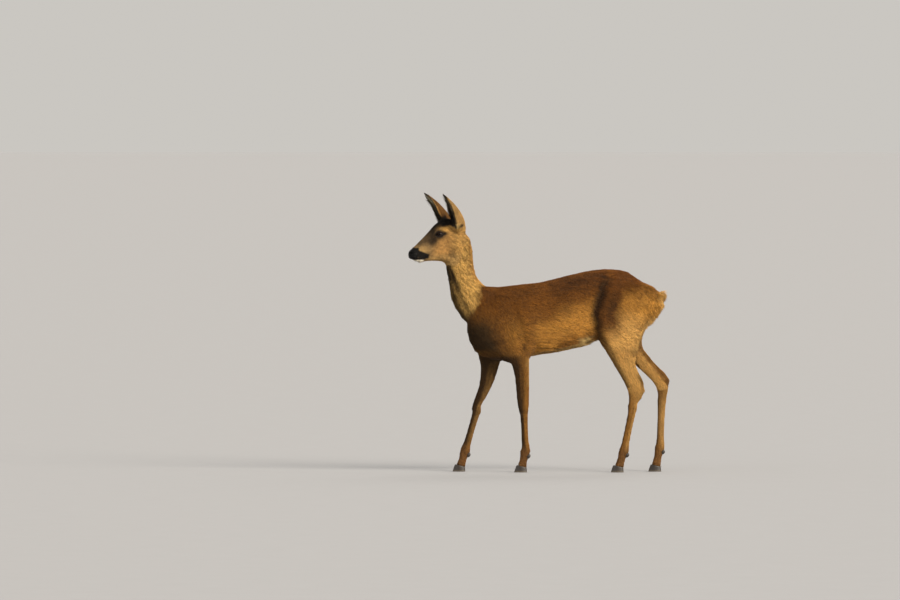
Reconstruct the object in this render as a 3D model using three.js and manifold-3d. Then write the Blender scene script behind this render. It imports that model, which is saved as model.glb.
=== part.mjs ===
// A roe deer doe, life size, standing alert. Millimetres, +Z up, origin on the floor under the
// middle of the animal. The deer faces -X and its left side faces -Y.
//
// The whole outer form is one smooth field, less than zero inside the animal. Each named piece is a
// loft: its rings are cast outwards, from a spine through that piece, to the field's surface or to
// the flat cut that the piece shares with its neighbour.
import * as THREE from 'three';
import { LoftGeometry } from 'three/addons/geometries/LoftGeometry.js';
import { mergeVertices } from 'three/addons/utils/BufferGeometryUtils.js';
import Module from 'manifold-3d';

// ---- Driving dimensions ----
const CUT_GAP = 0.4;              // air between two pieces at a cut
const WITHERS = 656;              // floor to the top of the shoulders
const CROUP = 714;                // floor to the highest point of the rump
const BRISKET = 390;              // floor to the breastbone, between the forelegs
const NEAR = -1;                  // the left side, at negative Y
const FAR = 1;
const HEAD_YAW = THREE.MathUtils.degToRad(16);   // the face turns towards the left side
const POLL_X = -300;              // where the head turns on the neck
const EYE = { along: 56, out: 31.5, height: 834, radius: 15.5 };
const EAR = { halfWidth: 27, cup: 27, lift: 5, wall: 3.2 };
const HOOF = { length: 43, width: 15.6, split: 8.6, toeHeight: 27, heelHeight: 17 };
const DEWCLAW = { depth: 7, half: 4.6, rise: 8.5, tilt: 25, behind: 11, below: 20, split: 7.6 };
const TAIL = { x: 437, height: 623, size: [8.5, 11, 16], tilt: -24 };

// ---- Stations: how the body's tubes are described ----
// A station is one cross-section of a tube: its front or upper edge and its rear or lower edge in
// the side view, each [x, z], then its half width, the Y of its middle, and how much wider its
// lower half is than its upper half.
const station = (edgeA, edgeB, half, y = 0, egg = 0) => [...edgeA, ...edgeB, half, y, egg];

const trunkStations = [
  station([-200, 640], [-249, 532], 54),
  station([-174, 650], [-250, 482], 68, 0, 0.05),
  station([-148, WITHERS - 3], [-228, 428], 78, 0, 0.08),
  station([-110, WITHERS + 1], [-172, BRISKET + 4], 85, 0, 0.1),
  station([-60, 662], [-95, BRISKET], 92, 0, 0.1),
  station([0, 668], [-12, 407], 99, 0, 0.08),
  station([62, 682], [62, 418], 104, 0, 0.05),
  station([126, 698], [136, 434], 101),
  station([186, 710], [206, 448], 92, 0, -0.05),
  station([248, CROUP], [266, 478], 88, 0, -0.05),
  station([304, 705], [332, 510], 84),
  station([350, 675], [388, 545], 70),
  station([394, 650], [424, 576], 46),
  station([424, 632], [434, 596], 24),
];

const neckStations = [
  station([-120, 596], [-205, 480], 50),
  station([-166, 628], [-240, 520], 60),
  station([-200, 664], [-281, 560], 60),
  station([-219, 692], [-305, 602], 53),
  station([-228, 728], [-313, 650], 44),
  station([-231, 766], [-320, 692], 40),
  station([-238, 804], [-329, 726], 37.5),
  station([-250, 838], [-335, 743], 36),
  station([-270, 852], [-342, 762], 34),
];

// Upper legs: from inside the body down to the carpus or the hock.
const forelegStations = {
  [NEAR]: [
    station([-172, 520], [-45, 520], 26, -52),
    station([-148, 462], [-24, 458], 30, -56),
    station([-120, 414], [-25, 431], 29, -58),
    station([-98, 380], [-31, 394], 26, -57),
    station([-86, 348], [-32, 354], 22.5, -55),
    station([-81, 308], [-32, 310], 19.5, -53),
    station([-77, 266], [-33, 266], 17.5, -51),
    station([-75, 240], [-33, 238], 17.5, -50),
    station([-70, 214], [-34, 212], 15, -49),
  ],
  [FAR]: [
    station([-222, 515], [-105, 505], 26, 52),
    station([-224, 452], [-98, 448], 30, 56),
    station([-211, 408], [-112, 424], 29, 58),
    station([-205, 374], [-130, 390], 26, 57),
    station([-204, 342], [-142, 356], 22.5, 55),
    station([-208, 306], [-154, 320], 19.5, 53),
    station([-219, 270], [-172, 282], 17.5, 51),
    station([-230, 243], [-187, 255], 17.5, 50),
    station([-236, 216], [-202, 226], 15, 49),
  ],
};

const hindlegStations = {
  [NEAR]: [
    station([198, 600], [404, 645], 42, -46),
    station([190, 548], [449, 594], 45, -52),
    station([197, 502], [418, 541], 43, -54),
    station([206, 472], [378, 503], 38, -55),
    station([218, 443], [361, 463], 32, -56),
    station([240, 411], [350, 426], 26, -55),
    station([262, 376], [341, 392], 23, -53),
    station([284, 341], [347, 361], 20, -51),
    station([302, 308], [362, 333], 18, -49),
    station([312, 281], [374, 300], 18, -48),
    station([315, 258], [367, 269], 16, -47),
    station([311, 234], [347, 240], 14, -47),
  ],
  [FAR]: [
    station([198, 600], [404, 645], 42, 46),
    station([192, 548], [449, 594], 45, 52),
    station([206, 502], [420, 543], 43, 54),
    station([232, 466], [384, 509], 38, 55),
    station([262, 438], [368, 470], 32, 56),
    station([296, 411], [370, 436], 26, 55),
    station([326, 386], [386, 411], 23, 53),
    station([353, 361], [406, 387], 20, 51),
    station([381, 335], [431, 361], 18, 49),
    station([404, 310], [458, 336], 18, 48),
    station([416, 286], [459, 306], 16, 47),
    station([420, 262], [453, 270], 14, 47),
  ],
};

// Head: stations in the head's own frame, [forward from the poll, height].
const headStations = [
  station([-42, 838], [-8, 752], 34),
  station([-30, 862], [12, 742], 39),
  station([-8, 883], [34, 736], 41, 0, -0.05),
  station([22, 891], [54, 737], 42, 0, -0.1),
  station([50, 881], [74, 738], 41, 0, -0.12),
  station([70, 864], [90, 738], 36, 0, -0.1),
  station([88, 844], [104, 738], 30, 0, -0.05),
  station([106, 826], [114, 735], 26),
  station([123, 810], [124, 732], 23.5, 0, 0.08),
  station([137, 796], [133, 735], 21.5, 0, 0.1),
  station([146, 788], [143, 741], 19.5),
  station([155, 777], [153, 751], 16.5),
];

// Lower legs share these shapes: [share of the bone, half depth, half width].
const foreCannon = [[0.1, 16.5, 14.5], [0.28, 13.6, 12.4], [0.55, 12.4, 11.3], [0.8, 12.8, 12]];
const hindCannon = [[0.2, 17, 14], [0.36, 14.6, 12.6], [0.58, 13.2, 11.6], [0.82, 13.4, 12.2]];
const fetlock = [[-0.14, 15, 13], [0.04, 17.2, 14.2], [0.24, 15, 13.4]];
const pastern = [[0.45, 13.2, 13], [0.66, 14.6, 14.4], [0.8, 16.5, 15.6]];

// Each leg's lower joints in the side view, [x, z], and the Y of its foot.
const feet = {
  fore_left: { side: NEAR, stations: forelegStations, cannon: foreCannon,
    top: [-52, 232], fetlock: [-46, 76], sole: [-62, 0], y: -46 },
  fore_right: { side: FAR, stations: forelegStations, cannon: foreCannon,
    top: [-210, 236], fetlock: [-256, 78], sole: [-278, 0], y: 46 },
  hind_left: { side: NEAR, stations: hindlegStations, cannon: hindCannon,
    top: [340, 272], fetlock: [300, 80], sole: [277, 0], y: -46 },
  hind_right: { side: FAR, stations: hindlegStations, cannon: hindCannon,
    top: [436, 298], fetlock: [427, 88], sole: [410, 0], y: 46 },
};

// ---- The field ----
const mix = (a, b, t) => a + (b - a) * t;
const smoothMin = (a, b, k) => {
  const h = Math.max(k - Math.abs(a - b), 0) / k;
  return Math.min(a, b) - h * h * k * 0.25;
};

// A Catmull-Rom curve through every station, sampled a few times between each two.
const densify = (stations, steps) => {
  const rows = [];
  for (let i = 0; i < stations.length - 1; i++) {
    const at = k => stations[THREE.MathUtils.clamp(k, 0, stations.length - 1)];
    const p = [at(i - 1), at(i), at(i + 1), at(i + 2)];
    for (let s = 0; s < steps; s++) {
      const t = s / steps;
      rows.push(p[1].map((_, j) => 0.5 * (2 * p[1][j] + (p[2][j] - p[0][j]) * t
        + (2 * p[0][j] - 5 * p[1][j] + 4 * p[2][j] - p[3][j]) * t * t
        + (3 * p[1][j] - p[0][j] - 3 * p[2][j] + p[3][j]) * t * t * t)));
    }
  }
  rows.push(stations.at(-1));
  return rows;
};

const frameOf = ([ax, az, bx, bz, half, y, egg]) => {
  const reach = Math.hypot(ax - bx, az - bz) / 2;
  return { x: (ax + bx) / 2, y, z: (az + bz) / 2, nx: (ax - bx) / 2 / reach,
    nz: (az - bz) / 2 / reach, reach, half, egg };
};

// Rough distance to an ellipsoid of half sizes a, b, c at the offset (u, v, w) from its middle.
const ellipsoid = (u, v, w, a, b, c) => {
  const q = Math.hypot(u / a, v / b, w / c);
  const g = Math.hypot(u / a / a, v / b / b, w / c / c);
  return g < 1e-6 ? -Math.min(a, b, c) : q * (q - 1) / g;
};

const END_ROUND = 0.65;          // how far a tube's end bulges, as a share of its size

// A tube through the stations. A point belongs to the stretch between the two cross-section planes
// that it lies between, and is measured against the ellipse there. Both ends of the tube are round.
const TUBE_STEPS = 3;            // samples of the curve between two stations
const tube = (stations, toLocal = null) => {
  const frames = densify(stations, TUBE_STEPS).map(frameOf);
  const ahead = frames[1].x * -frames[0].nz + frames[1].z * frames[0].nx
    > frames[0].x * -frames[0].nz + frames[0].z * frames[0].nx ? 1 : -1;
  const farAway = 60;
  const lowX = Math.min(...frames.map(f => f.x - f.reach)) - farAway;
  const highX = Math.max(...frames.map(f => f.x + f.reach)) + farAway;
  const lowZ = Math.min(...frames.map(f => f.z - f.reach)) - farAway;
  const highZ = Math.max(...frames.map(f => f.z + f.reach)) + farAway;
  const past = (f, x, z) => ahead * ((z - f.z) * f.nx - (x - f.x) * f.nz);
  const field = point => {
    const [x, y, z] = toLocal ? toLocal(point) : [point.x, point.y, point.z];
    if (x < lowX || x > highX || z < lowZ || z > highZ) return farAway;
    let best = farAway;
    let before = past(frames[0], x, z);
    for (let i = 1; i < frames.length; i++) {
      const f = frames[i - 1], g = frames[i];
      const from = before, to = past(g, x, z);
      before = to;
      const firstEnd = i === 1 && from < 0, lastEnd = i === frames.length - 1 && to > 0;
      if (!firstEnd && !lastEnd && (from < 0 || to > 0)) continue;
      const t = firstEnd ? 0 : lastEnd ? 1 : from / (from - to + 1e-9);
      const dx = x - mix(f.x, g.x, t), dz = z - mix(f.z, g.z, t), dy = y - mix(f.y, g.y, t);
      const nx = mix(f.nx, g.nx, t), nz = mix(f.nz, g.nz, t), n = Math.hypot(nx, nz);
      const reach = mix(f.reach, g.reach, t);
      const u = (dx * nx + dz * nz) / n;
      const overrun = firstEnd ? from : lastEnd ? to : 0;
      const lower = mix(f.egg, g.egg, t) * THREE.MathUtils.clamp(u / reach, -1, 1);
      const half = mix(f.half, g.half, t) * (1 - lower);
      const bulge = END_ROUND * Math.min(reach, half);
      best = Math.min(best, ellipsoid(u, dy, overrun, reach, half, bulge));
    }
    return best;
  };
  return field;
};

// The head's frame: forward from the poll, out to the left, and up.
const yawCos = Math.cos(HEAD_YAW), yawSin = Math.sin(HEAD_YAW);
const headLocal = p => {
  const dx = p.x - POLL_X;
  return [-dx * yawCos - p.y * yawSin, dx * yawSin - p.y * yawCos, p.z];
};
const headWorld = (forward, out, up, yaw = HEAD_YAW) => new THREE.Vector3(
  POLL_X - forward * Math.cos(yaw) + out * Math.sin(yaw),
  -forward * Math.sin(yaw) - out * Math.cos(yaw),
  up,
);

// The lower leg's stations, worked out from its joints and the shared shapes.
const KNEE_Y = 48;                // from the middle plane out to the carpus or hock
const lowerLegStations = ({ side, top, fetlock: joint, sole, y, cannon }) => {
  const topY = side * KNEE_Y;
  const along = (from, to, share, depth, half, y0, y1) => {
    const x = mix(from[0], to[0], share), z = mix(from[1], to[1], share);
    const length = Math.hypot(to[0] - from[0], to[1] - from[1]);
    const nx = (to[1] - from[1]) / length * depth, nz = -(to[0] - from[0]) / length * depth;
    return station([x + nx, z + nz], [x - nx, z - nz], half, mix(y0, y1, Math.max(share, 0)));
  };
  return [
    ...cannon.map(([share, depth, half]) => along(top, joint, share, depth, half, topY, y)),
    ...[...fetlock, ...pastern].map(([share, depth, half]) =>
      along(joint, sole, share, depth, half, y, y)),
  ];
};

const trunkField = tube(trunkStations);
const neckField = tube(neckStations);
const headField = tube(headStations, headLocal);
const legFields = Object.values(feet).map(leg =>
  tube([...leg.stations[leg.side], ...lowerLegStations(leg)]));

// Muscles and hollows that both sides share: middle, half sizes, tilt in the side view, and the
// blend. A negative blend hollows the form instead.
const muscles = [
  { at: [-150, 54, 552], size: [44, 28, 82], tilt: -24, blend: 30 },    // shoulder blade
  { at: [-138, 56, 474], size: [60, 28, 48], tilt: 12, blend: 30 },     // upper arm
  { at: [-216, 26, 500], size: [26, 26, 40], tilt: 20, blend: 20 },     // breast
  { at: [300, 56, 582], size: [92, 38, 78], tilt: 18, blend: 34 },     // haunch
  { at: [366, 46, 592], size: [50, 28, 38], tilt: -35, blend: 22 },     // buttock
  { at: [178, 118, 575], size: [60, 18, 64], tilt: 12, blend: -44 },    // flank hollow
];
const cheeks = [
  { at: [24, 24, 778], size: [36, 17, 37], tilt: 0, blend: 14 },        // cheek muscle
  { at: [54, 28, 838], size: [26, 15, 19], tilt: -20, blend: 10 },      // brow and eye socket
  { at: [22, 30, 826], size: [34, 12, 16], tilt: -14, blend: 12 },      // cheekbone's arch
  { at: [132, 11, 757], size: [26, 11.5, 15], tilt: -26, blend: 9 },    // lip and nostril wing
  { at: [86, 39.5, 806], size: [18, 8, 10], tilt: -34, blend: -14 },    // gland pit before the eye
];
const lumpField = (x, y, z, { at, size, tilt }) => {
  const angle = THREE.MathUtils.degToRad(tilt);
  const dx = x - at[0], dz = z - at[2];
  return ellipsoid(dx * Math.cos(angle) + dz * Math.sin(angle), Math.abs(y) - at[1],
    -dx * Math.sin(angle) + dz * Math.cos(angle), ...size);
};
const addLumps = (base, x, y, z, lumps) => lumps.reduce((value, lump) => {
  const other = lumpField(x, y, z, lump);
  if (lump.blend > 0) return smoothMin(value, other, lump.blend);
  return -smoothMin(-value, other, -lump.blend);
}, base);

// How softly the parts run together, and where the head's own field can be skipped.
const BLEND = { neck: 34, leg: 22, head: 14 };
const HEAD_REGION = { behindX: -180, aboveZ: 650 };
const bodyField = p => {
  let value = smoothMin(trunkField(p), neckField(p), BLEND.neck);
  value = addLumps(value, p.x, p.y, p.z, muscles);
  for (const legField of legFields) value = smoothMin(value, legField(p), BLEND.leg);
  if (p.x > HEAD_REGION.behindX || p.z < HEAD_REGION.aboveZ) return value;
  const head = addLumps(headField(p), ...headLocal(p), cheeks);
  return smoothMin(value, head, BLEND.head);
};

// ---- Casting rings ----
// How far from a point, in a direction, the surface or the first cut is. grow moves the surface
// out, for a tool that leaves air round a piece.
const RAY_LIMIT = 260;            // longer than any ray from a spine to the surface
const RAY_STEP = 6;
const castRay = (from, direction, cuts, grow) => {
  let limit = RAY_LIMIT;
  for (const { normal, offset } of cuts) {
    const speed = normal.dot(direction);
    if (speed > 1e-3) limit = Math.min(limit, (offset - CUT_GAP / 2 - normal.dot(from)) / speed);
  }
  const at = new THREE.Vector3();
  const value = reach => bodyField(at.copy(from).addScaledVector(direction, reach)) - grow;
  let low = 0, high = 0;
  while (high < limit) {
    high = Math.min(limit, high + RAY_STEP);
    if (value(high) > 0) break;
    low = high;
  }
  if (low >= limit) return { reach: limit, clipped: true };
  for (let i = 0; i < 10; i++) {
    const middle = (low + high) / 2;
    if (value(middle) > 0) high = middle; else low = middle;
  }
  return { reach: low, clipped: false };
};

// One ring: points around a middle, in the plane of two directions. lean tips the rays along the
// ring's axis, which closes an end like a dome. Where a cut begins between two rays, the nearer
// ray turns to meet the cut's edge.
const castRing = ({ middle, across, up, lean = 0 }, count, cuts, grow = 0) => {
  const axis = new THREE.Vector3().crossVectors(across, up).normalize();
  const direction = angle => new THREE.Vector3()
    .addScaledVector(across, Math.cos(angle) * Math.cos(lean))
    .addScaledVector(up, Math.sin(angle) * Math.cos(lean))
    .addScaledVector(axis, Math.sin(lean))
    .normalize();
  const shoot = angle => ({ angle, ...castRay(middle, direction(angle), cuts, grow) });
  const step = 2 * Math.PI / count;
  const rays = Array.from({ length: count }, (_, i) => shoot(i * step));
  const moved = new Set();
  for (let i = 0; i < count; i++) {
    const j = (i + 1) % count;
    if (rays[i].clipped === rays[j].clipped || moved.has(i) || moved.has(j)) continue;
    const start = i * step;
    let low = start, high = start + step;
    for (let k = 0; k < 7; k++) {
      const middleAngle = (low + high) / 2;
      if (shoot(middleAngle).clipped === rays[i].clipped) low = middleAngle; else high = middleAngle;
    }
    const nearer = low - start < step / 2 ? i : j;
    rays[nearer] = shoot(low);
    moved.add(nearer);
  }
  return rays.map(({ angle, reach }) => middle.clone().addScaledVector(direction(angle), reach));
};

// ---- Closed meshes ----
const bare = geometry => {
  const plain = new THREE.BufferGeometry();
  plain.setAttribute('position', geometry.attributes.position);
  if (geometry.index) plain.setIndex(geometry.index);
  return mergeVertices(plain, 1e-3);
};
// A closed loft through rings of points. Each ring has to turn the way that faces the next one.
const loft = rings => {
  const [first, second] = rings;
  const turn = new THREE.Vector3();
  first.forEach((corner, i) => turn.add(corner.clone().cross(first[(i + 1) % first.length])));
  const ahead = rings.at(-1)[0].clone().sub(first[0]).add(second[1]).sub(first[1]);
  const ordered = turn.dot(ahead) > 0 ? rings : rings.map(ring => [...ring].reverse());
  return bare(new LoftGeometry(ordered, { closed: true, capStart: true, capEnd: true }));
};

const wasm = await Module();
wasm.setup();
const toSolid = geometry => new wasm.Manifold(new wasm.Mesh({
  numProp: 3,
  vertProperties: Float32Array.from(geometry.attributes.position.array),
  triVerts: Uint32Array.from(geometry.index.array),
}));
const toGeometry = solid => {
  const { vertProperties, triVerts } = solid.getMesh();
  const geometry = new THREE.BufferGeometry();
  geometry.setAttribute('position', new THREE.BufferAttribute(vertProperties, 3));
  geometry.setIndex(new THREE.BufferAttribute(triVerts, 1));
  return bare(geometry);
};
const cutAway = (geometry, ...tools) =>
  toGeometry(tools.reduce((solid, tool) => solid.subtract(toSolid(tool)), toSolid(geometry)));

// ---- Ring places ----
// A ring line is an edge-to-edge line in the side view, like a station without a width. A smooth
// run of rings goes through a list of them; toWorld places a line that is in the head's frame.
const line = (edgeA, edgeB, y = 0) => [...edgeA, ...edgeB, 0, y, 0];
const ACROSS = new THREE.Vector3(0, 1, 0);
const asPlace = row => {
  const { x, y, z, nx, nz } = frameOf(row);
  return { middle: new THREE.Vector3(x, y, z), up: new THREE.Vector3(nx, 0, nz), across: ACROSS };
};
const HEAD_TURN_RINGS = 5;         // the first rings turn from the neck's direction to the face's
const asHeadPlace = (row, i) => {
  const { x, z, nx, nz } = frameOf(row);
  const yaw = HEAD_YAW * Math.min(i / HEAD_TURN_RINGS, 1);
  const origin = headWorld(0, 0, 0, yaw);
  return { middle: headWorld(x, 0, z, yaw), up: headWorld(nx, 0, nz, yaw).sub(origin),
    across: headWorld(0, -1, 0, yaw).sub(origin) };
};
const asNosePlace = row => asHeadPlace(row, HEAD_TURN_RINGS);
// Puts the first and last ring in the cuts that end the piece.
const settle = (places, firstCut, lastCut) => {
  for (const [place, cut] of [[places[0], firstCut], [places.at(-1), lastCut]]) {
    if (!cut) continue;
    const step = cut.offset - CUT_GAP / 2 - cut.normal.dot(place.middle);
    place.middle.addScaledVector(cut.normal, step);
    place.up = place.up.clone().projectOnPlane(cut.normal).normalize();
    place.across = new THREE.Vector3().crossVectors(place.up, cut.normal);
    if (place.across.dot(places[1].across) < 0) place.across.negate();
  }
  return places;
};
const DOME_LEANS = [0.55, 1.0, 1.32];
const domed = place => DOME_LEANS.map(lean => ({ ...place, lean: place.away * lean }));

// ---- Flat cuts between pieces ----
// A cut is a plane: a point is on the kept side where normal . point is under the offset.
const cutAlong = ([a, b], keptBelow) => {
  const normal = new THREE.Vector3(a[1] - b[1], 0, b[0] - a[0]).normalize();
  if (Math.sign(normal.z) !== (keptBelow ? 1 : -1)) normal.negate();
  return { normal, offset: normal.dot(new THREE.Vector3(a[0], 0, a[1])) };
};
const flip = ({ normal, offset }) => ({ normal: normal.clone().negate(), offset: -offset });
const neckBaseLine = [[-181, 660], [-254, 523]];
const headNeckLine = [[-262, 841], [-328, 735]];
const thighLine = [[444, 603], [209, 470]];
const belowNeckBase = cutAlong(neckBaseLine, true);
const belowHead = cutAlong(headNeckLine, true);
const aboveThigh = cutAlong(thighLine, false);
const FOREARM_CUT = { y: 30, z: 400 };     // rises outwards at 45 degrees from here
const aboveForearm = side => {
  const normal = new THREE.Vector3(0, side, -1).normalize();
  return { normal, offset: normal.dot(new THREE.Vector3(0, side * FOREARM_CUT.y, FOREARM_CUT.z)) };
};
const ownSide = side => ({ normal: new THREE.Vector3(0, -side, 0), offset: 0 });

const deer = new THREE.Group();
const finishes = {
  coat: new THREE.MeshStandardMaterial({ color: 0x99602f, roughness: 0.92 }),
  nose: new THREE.MeshStandardMaterial({ color: 0x17130f, roughness: 0.45 }),
  eye: new THREE.MeshStandardMaterial({ color: 0x0d0907, roughness: 0.06 }),
  horn: new THREE.MeshStandardMaterial({ color: 0x221c17, roughness: 0.42 }),
};
const add = (name, geometry, finish = 'coat') => {
  const mesh = new THREE.Mesh(geometry, finishes[finish]);
  geometry.computeVertexNormals();
  mesh.name = name;
  deer.add(mesh);
};

// How many points each kind of ring has.
const SIDES = { trunk: 26, neck: 22, head: 30, nose: 20, forearm: 16, thigh: 22, gaskin: 18, lower: 12 };

// ---- Trunk ----
const castPiece = (places, count, limits, grow = 0) =>
  loft(places.map(place => castRing(place, count, limits, grow)));
const trunkLines = [
  line(...neckBaseLine), line([-163, 656], [-246, 462]), line([-138, 656], [-200, 405]),
  line([-100, 659], [-134, 388]), line([-50, 663], [-62, 392]), line([5, 669], [5, 408]),
  line([70, 684], [72, 419]), line([135, 700], [140, 437]), line([196, 712], [204, 470]),
  line([250, 714], [256, 510]), line([305, 705], [309, 538]), line([355, 677], [358, 562]),
  line([398, 647], [400, 585]), line([422, 632], [424, 600]),
];
const trunkPlaces = settle(densify(trunkLines, 2).map(asPlace), belowNeckBase);
const trunkLimits = [belowNeckBase, aboveThigh, aboveForearm(NEAR), aboveForearm(FAR)];
const trunkAll = [...trunkPlaces, ...domed({ ...trunkPlaces.at(-1), away: 1 })];
add('trunk', castPiece(trunkAll, SIDES.trunk, trunkLimits));

// ---- Neck ----
const neckLines = [
  line(...neckBaseLine), line([-208, 690], [-300, 575]), line([-222, 724], [-314, 645]),
  line([-234, 772], [-322, 698]), line(...headNeckLine),
];
const neckPlaces = settle(densify(neckLines, 2).map(asPlace), flip(belowNeckBase), belowHead);
add('neck', castPiece(neckPlaces, SIDES.neck, [flip(belowNeckBase), belowHead]));

// ---- Head, nose and eyes ----
const toHead = ([x, z]) => [POLL_X - x, z];
const noseLine = [[136, 800], [150, 741]];
const headLines = [
  line(...headNeckLine.map(toHead)), line([-8, 881], [40, 735]), ...headStations.slice(3, 9),
  line(...noseLine),
];
const noseNormal = new THREE.Vector3().subVectors(headWorld(1, 0, 0), headWorld(0, 0, 0));
const noseTilt = Math.atan2(noseLine[1][0] - noseLine[0][0], noseLine[0][1] - noseLine[1][1]);
noseNormal.multiplyScalar(Math.cos(noseTilt)).add(new THREE.Vector3(0, 0, Math.sin(noseTilt)));
const noseBridge = headWorld(noseLine[0][0], 0, noseLine[0][1]);
const behindNose = { normal: noseNormal, offset: noseNormal.dot(noseBridge) };
const headPlaces = settle(densify(headLines, 2).map(asHeadPlace), flip(belowHead), behindNose);
const headLimits = [flip(belowHead), behindNose];
const eyeSphere = (side, grow) => {
  const geometry = new THREE.SphereGeometry(EYE.radius + grow, 12, 8);
  const middle = headWorld(EYE.along, -side * EYE.out, EYE.height);
  return bare(geometry.translate(middle.x, middle.y, middle.z));
};
const headWhole = castPiece(headPlaces, SIDES.head, headLimits);
add('head', cutAway(headWhole, eyeSphere(NEAR, CUT_GAP), eyeSphere(FAR, CUT_GAP)));
add('eye_left', eyeSphere(NEAR, 0), 'eye');
add('eye_right', eyeSphere(FAR, 0), 'eye');

const noseLines = [line(...noseLine), line([149, 787], [154, 746])];
const nosePlaces = settle(densify(noseLines, 2).map(asNosePlace), flip(behindNose));
const noseAll = [...nosePlaces, ...domed({ ...nosePlaces.at(-1), away: -1 })];
add('nose', castPiece(noseAll, SIDES.nose, [flip(behindNose)]), 'nose');

// ---- Ears ----
// A cupped leaf: each section is a crescent, its back a half ellipse and its wall thinning to the
// rim. It starts inside the crown and the head's own form cuts it off.
const ears = {
  ear_left: { root: headWorld(-20, 23, 846), tip: new THREE.Vector3(-333, -104, 974),
    open: new THREE.Vector3(-0.9, -0.44, 0) },
  ear_right: { root: headWorld(6, -22, 842), tip: new THREE.Vector3(-400, 84, 977),
    open: new THREE.Vector3(-0.94, -0.34, 0) },
};
const EAR_STEPS = 12;
const EAR_END = 0.98;             // the last section stops short of the point, so it has a face
const EAR_ARC = 9;
const earSection = ({ root, tip, open }, share) => {
  const axis = tip.clone().sub(root);
  const length = axis.length();
  axis.normalize();
  const front = open.clone().addScaledVector(axis, -open.dot(axis)).normalize();
  const side = new THREE.Vector3().crossVectors(axis, front);
  const leaf = Math.sin(Math.PI * (0.16 + 0.84 * share) ** 1.12) ** 0.72;
  const half = EAR.halfWidth * leaf + 2.6;
  const cup = EAR.cup * Math.cos(Math.PI / 2 * share) ** 1.1 * (0.8 + 0.6 * share) + 2.6;
  const wall = EAR.wall * (1 - 0.5 * share);
  const wrap = mix(1.9, 1.5, Math.min(share * 3, 1));
  const lift = EAR.lift * Math.sin(Math.PI * share ** 0.8);
  const middle = root.clone().addScaledVector(axis, share * length).addScaledVector(front, -lift);
  const place = (across, ahead) =>
    middle.clone().addScaledVector(side, across).addScaledVector(front, ahead);
  const rimAhead = cup * Math.cos(wrap);
  const arc = Array.from({ length: EAR_ARC }, (_, i) => wrap * (2 * i / (EAR_ARC - 1) - 1));
  const outside = arc.map(angle => place(half * Math.sin(angle), -cup * Math.cos(angle)));
  // Near the root the bowl is filled to its mouth; it opens into a hollow further up.
  const hollow = THREE.MathUtils.smoothstep(share, 0.12, 0.36);
  const inside = arc.map(angle => {
    const inset = mix(wall, wall * 0.6, Math.abs(angle / wrap));
    const a = angle * 0.985;
    const fill = 0.5 * cup * Math.cos(a / wrap * Math.PI / 2);
    const mouth = place((half - inset) * Math.sin(a), fill - rimAhead);
    const bowl = place((half - inset) * Math.sin(a), -(cup - inset) * Math.cos(a));
    return mouth.lerp(bowl, hollow);
  }).reverse();
  return [...outside, ...inside];
};
const headTool = castPiece(headPlaces, SIDES.head, headLimits, CUT_GAP);
for (const [name, ear] of Object.entries(ears)) {
  const sections = Array.from({ length: EAR_STEPS }, (_, i) =>
    earSection(ear, EAR_END * i / (EAR_STEPS - 1)));
  add(name, cutAway(loft(sections), headTool));
}

// ---- Tail ----
const trunkTool = castPiece(trunkAll, SIDES.trunk, trunkLimits, CUT_GAP);
const tailShape = new THREE.SphereGeometry(1, 12, 8).scale(...TAIL.size);
tailShape.rotateY(THREE.MathUtils.degToRad(TAIL.tilt)).translate(TAIL.x, 0, TAIL.height);
add('tail', cutAway(bare(tailShape), trunkTool));

// ---- Legs ----
const lineOf = ([ax, az, bx, bz, , y]) => line([ax, az], [bx, bz], y);
// The station a number of stations along the list, which can be between two of them.
const FINE = 12;
const stationAt = (stations, t) => densify(stations, FINE)[Math.round(t * FINE)];
const legPlane = row => {
  const { x, z, nx, nz } = frameOf(row);
  const normal = new THREE.Vector3(nz, 0, -nx);
  if (normal.z > 0) normal.negate();
  return { normal, offset: normal.dot(new THREE.Vector3(x, 0, z)) };
};
const runOf = (stations, from, to, steps) =>
  Array.from({ length: steps + 1 }, (_, i) => lineOf(stationAt(stations, mix(from, to, i / steps))));

// A cloven hoof's half: a pointed sole, walls that lean back, and a coronet that falls to the heel.
const makeHoof = (foot, digit) => {
  const [soleX] = foot.sole;
  const middleHeight = (HOOF.toeHeight + HOOF.heelHeight) / 2;
  const fall = (HOOF.toeHeight - HOOF.heelHeight) / HOOF.length;
  const outline = share => Array.from({ length: 12 }, (_, i) => {
    const angle = i * Math.PI / 6;
    const forward = Math.cos(angle);
    const reach = HOOF.length / 2 * (forward > 0 ? 1.12 - 0.42 * share : 1 - 0.06 * share);
    const taper = 1 - 0.42 * Math.max(forward, 0) ** 1.5;
    const x = soleX - forward * reach;
    const y = foot.y + digit * (HOOF.split - 1.5 * Math.max(forward, 0))
      + Math.sin(angle) * HOOF.width / 2 * taper * (1 - 0.1 * share);
    return new THREE.Vector3(x, y, share * (middleHeight - fall * (x - soleX) - CUT_GAP / 2));
  });
  return loft([0, 0.4, 1].map(outline));
};

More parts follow.
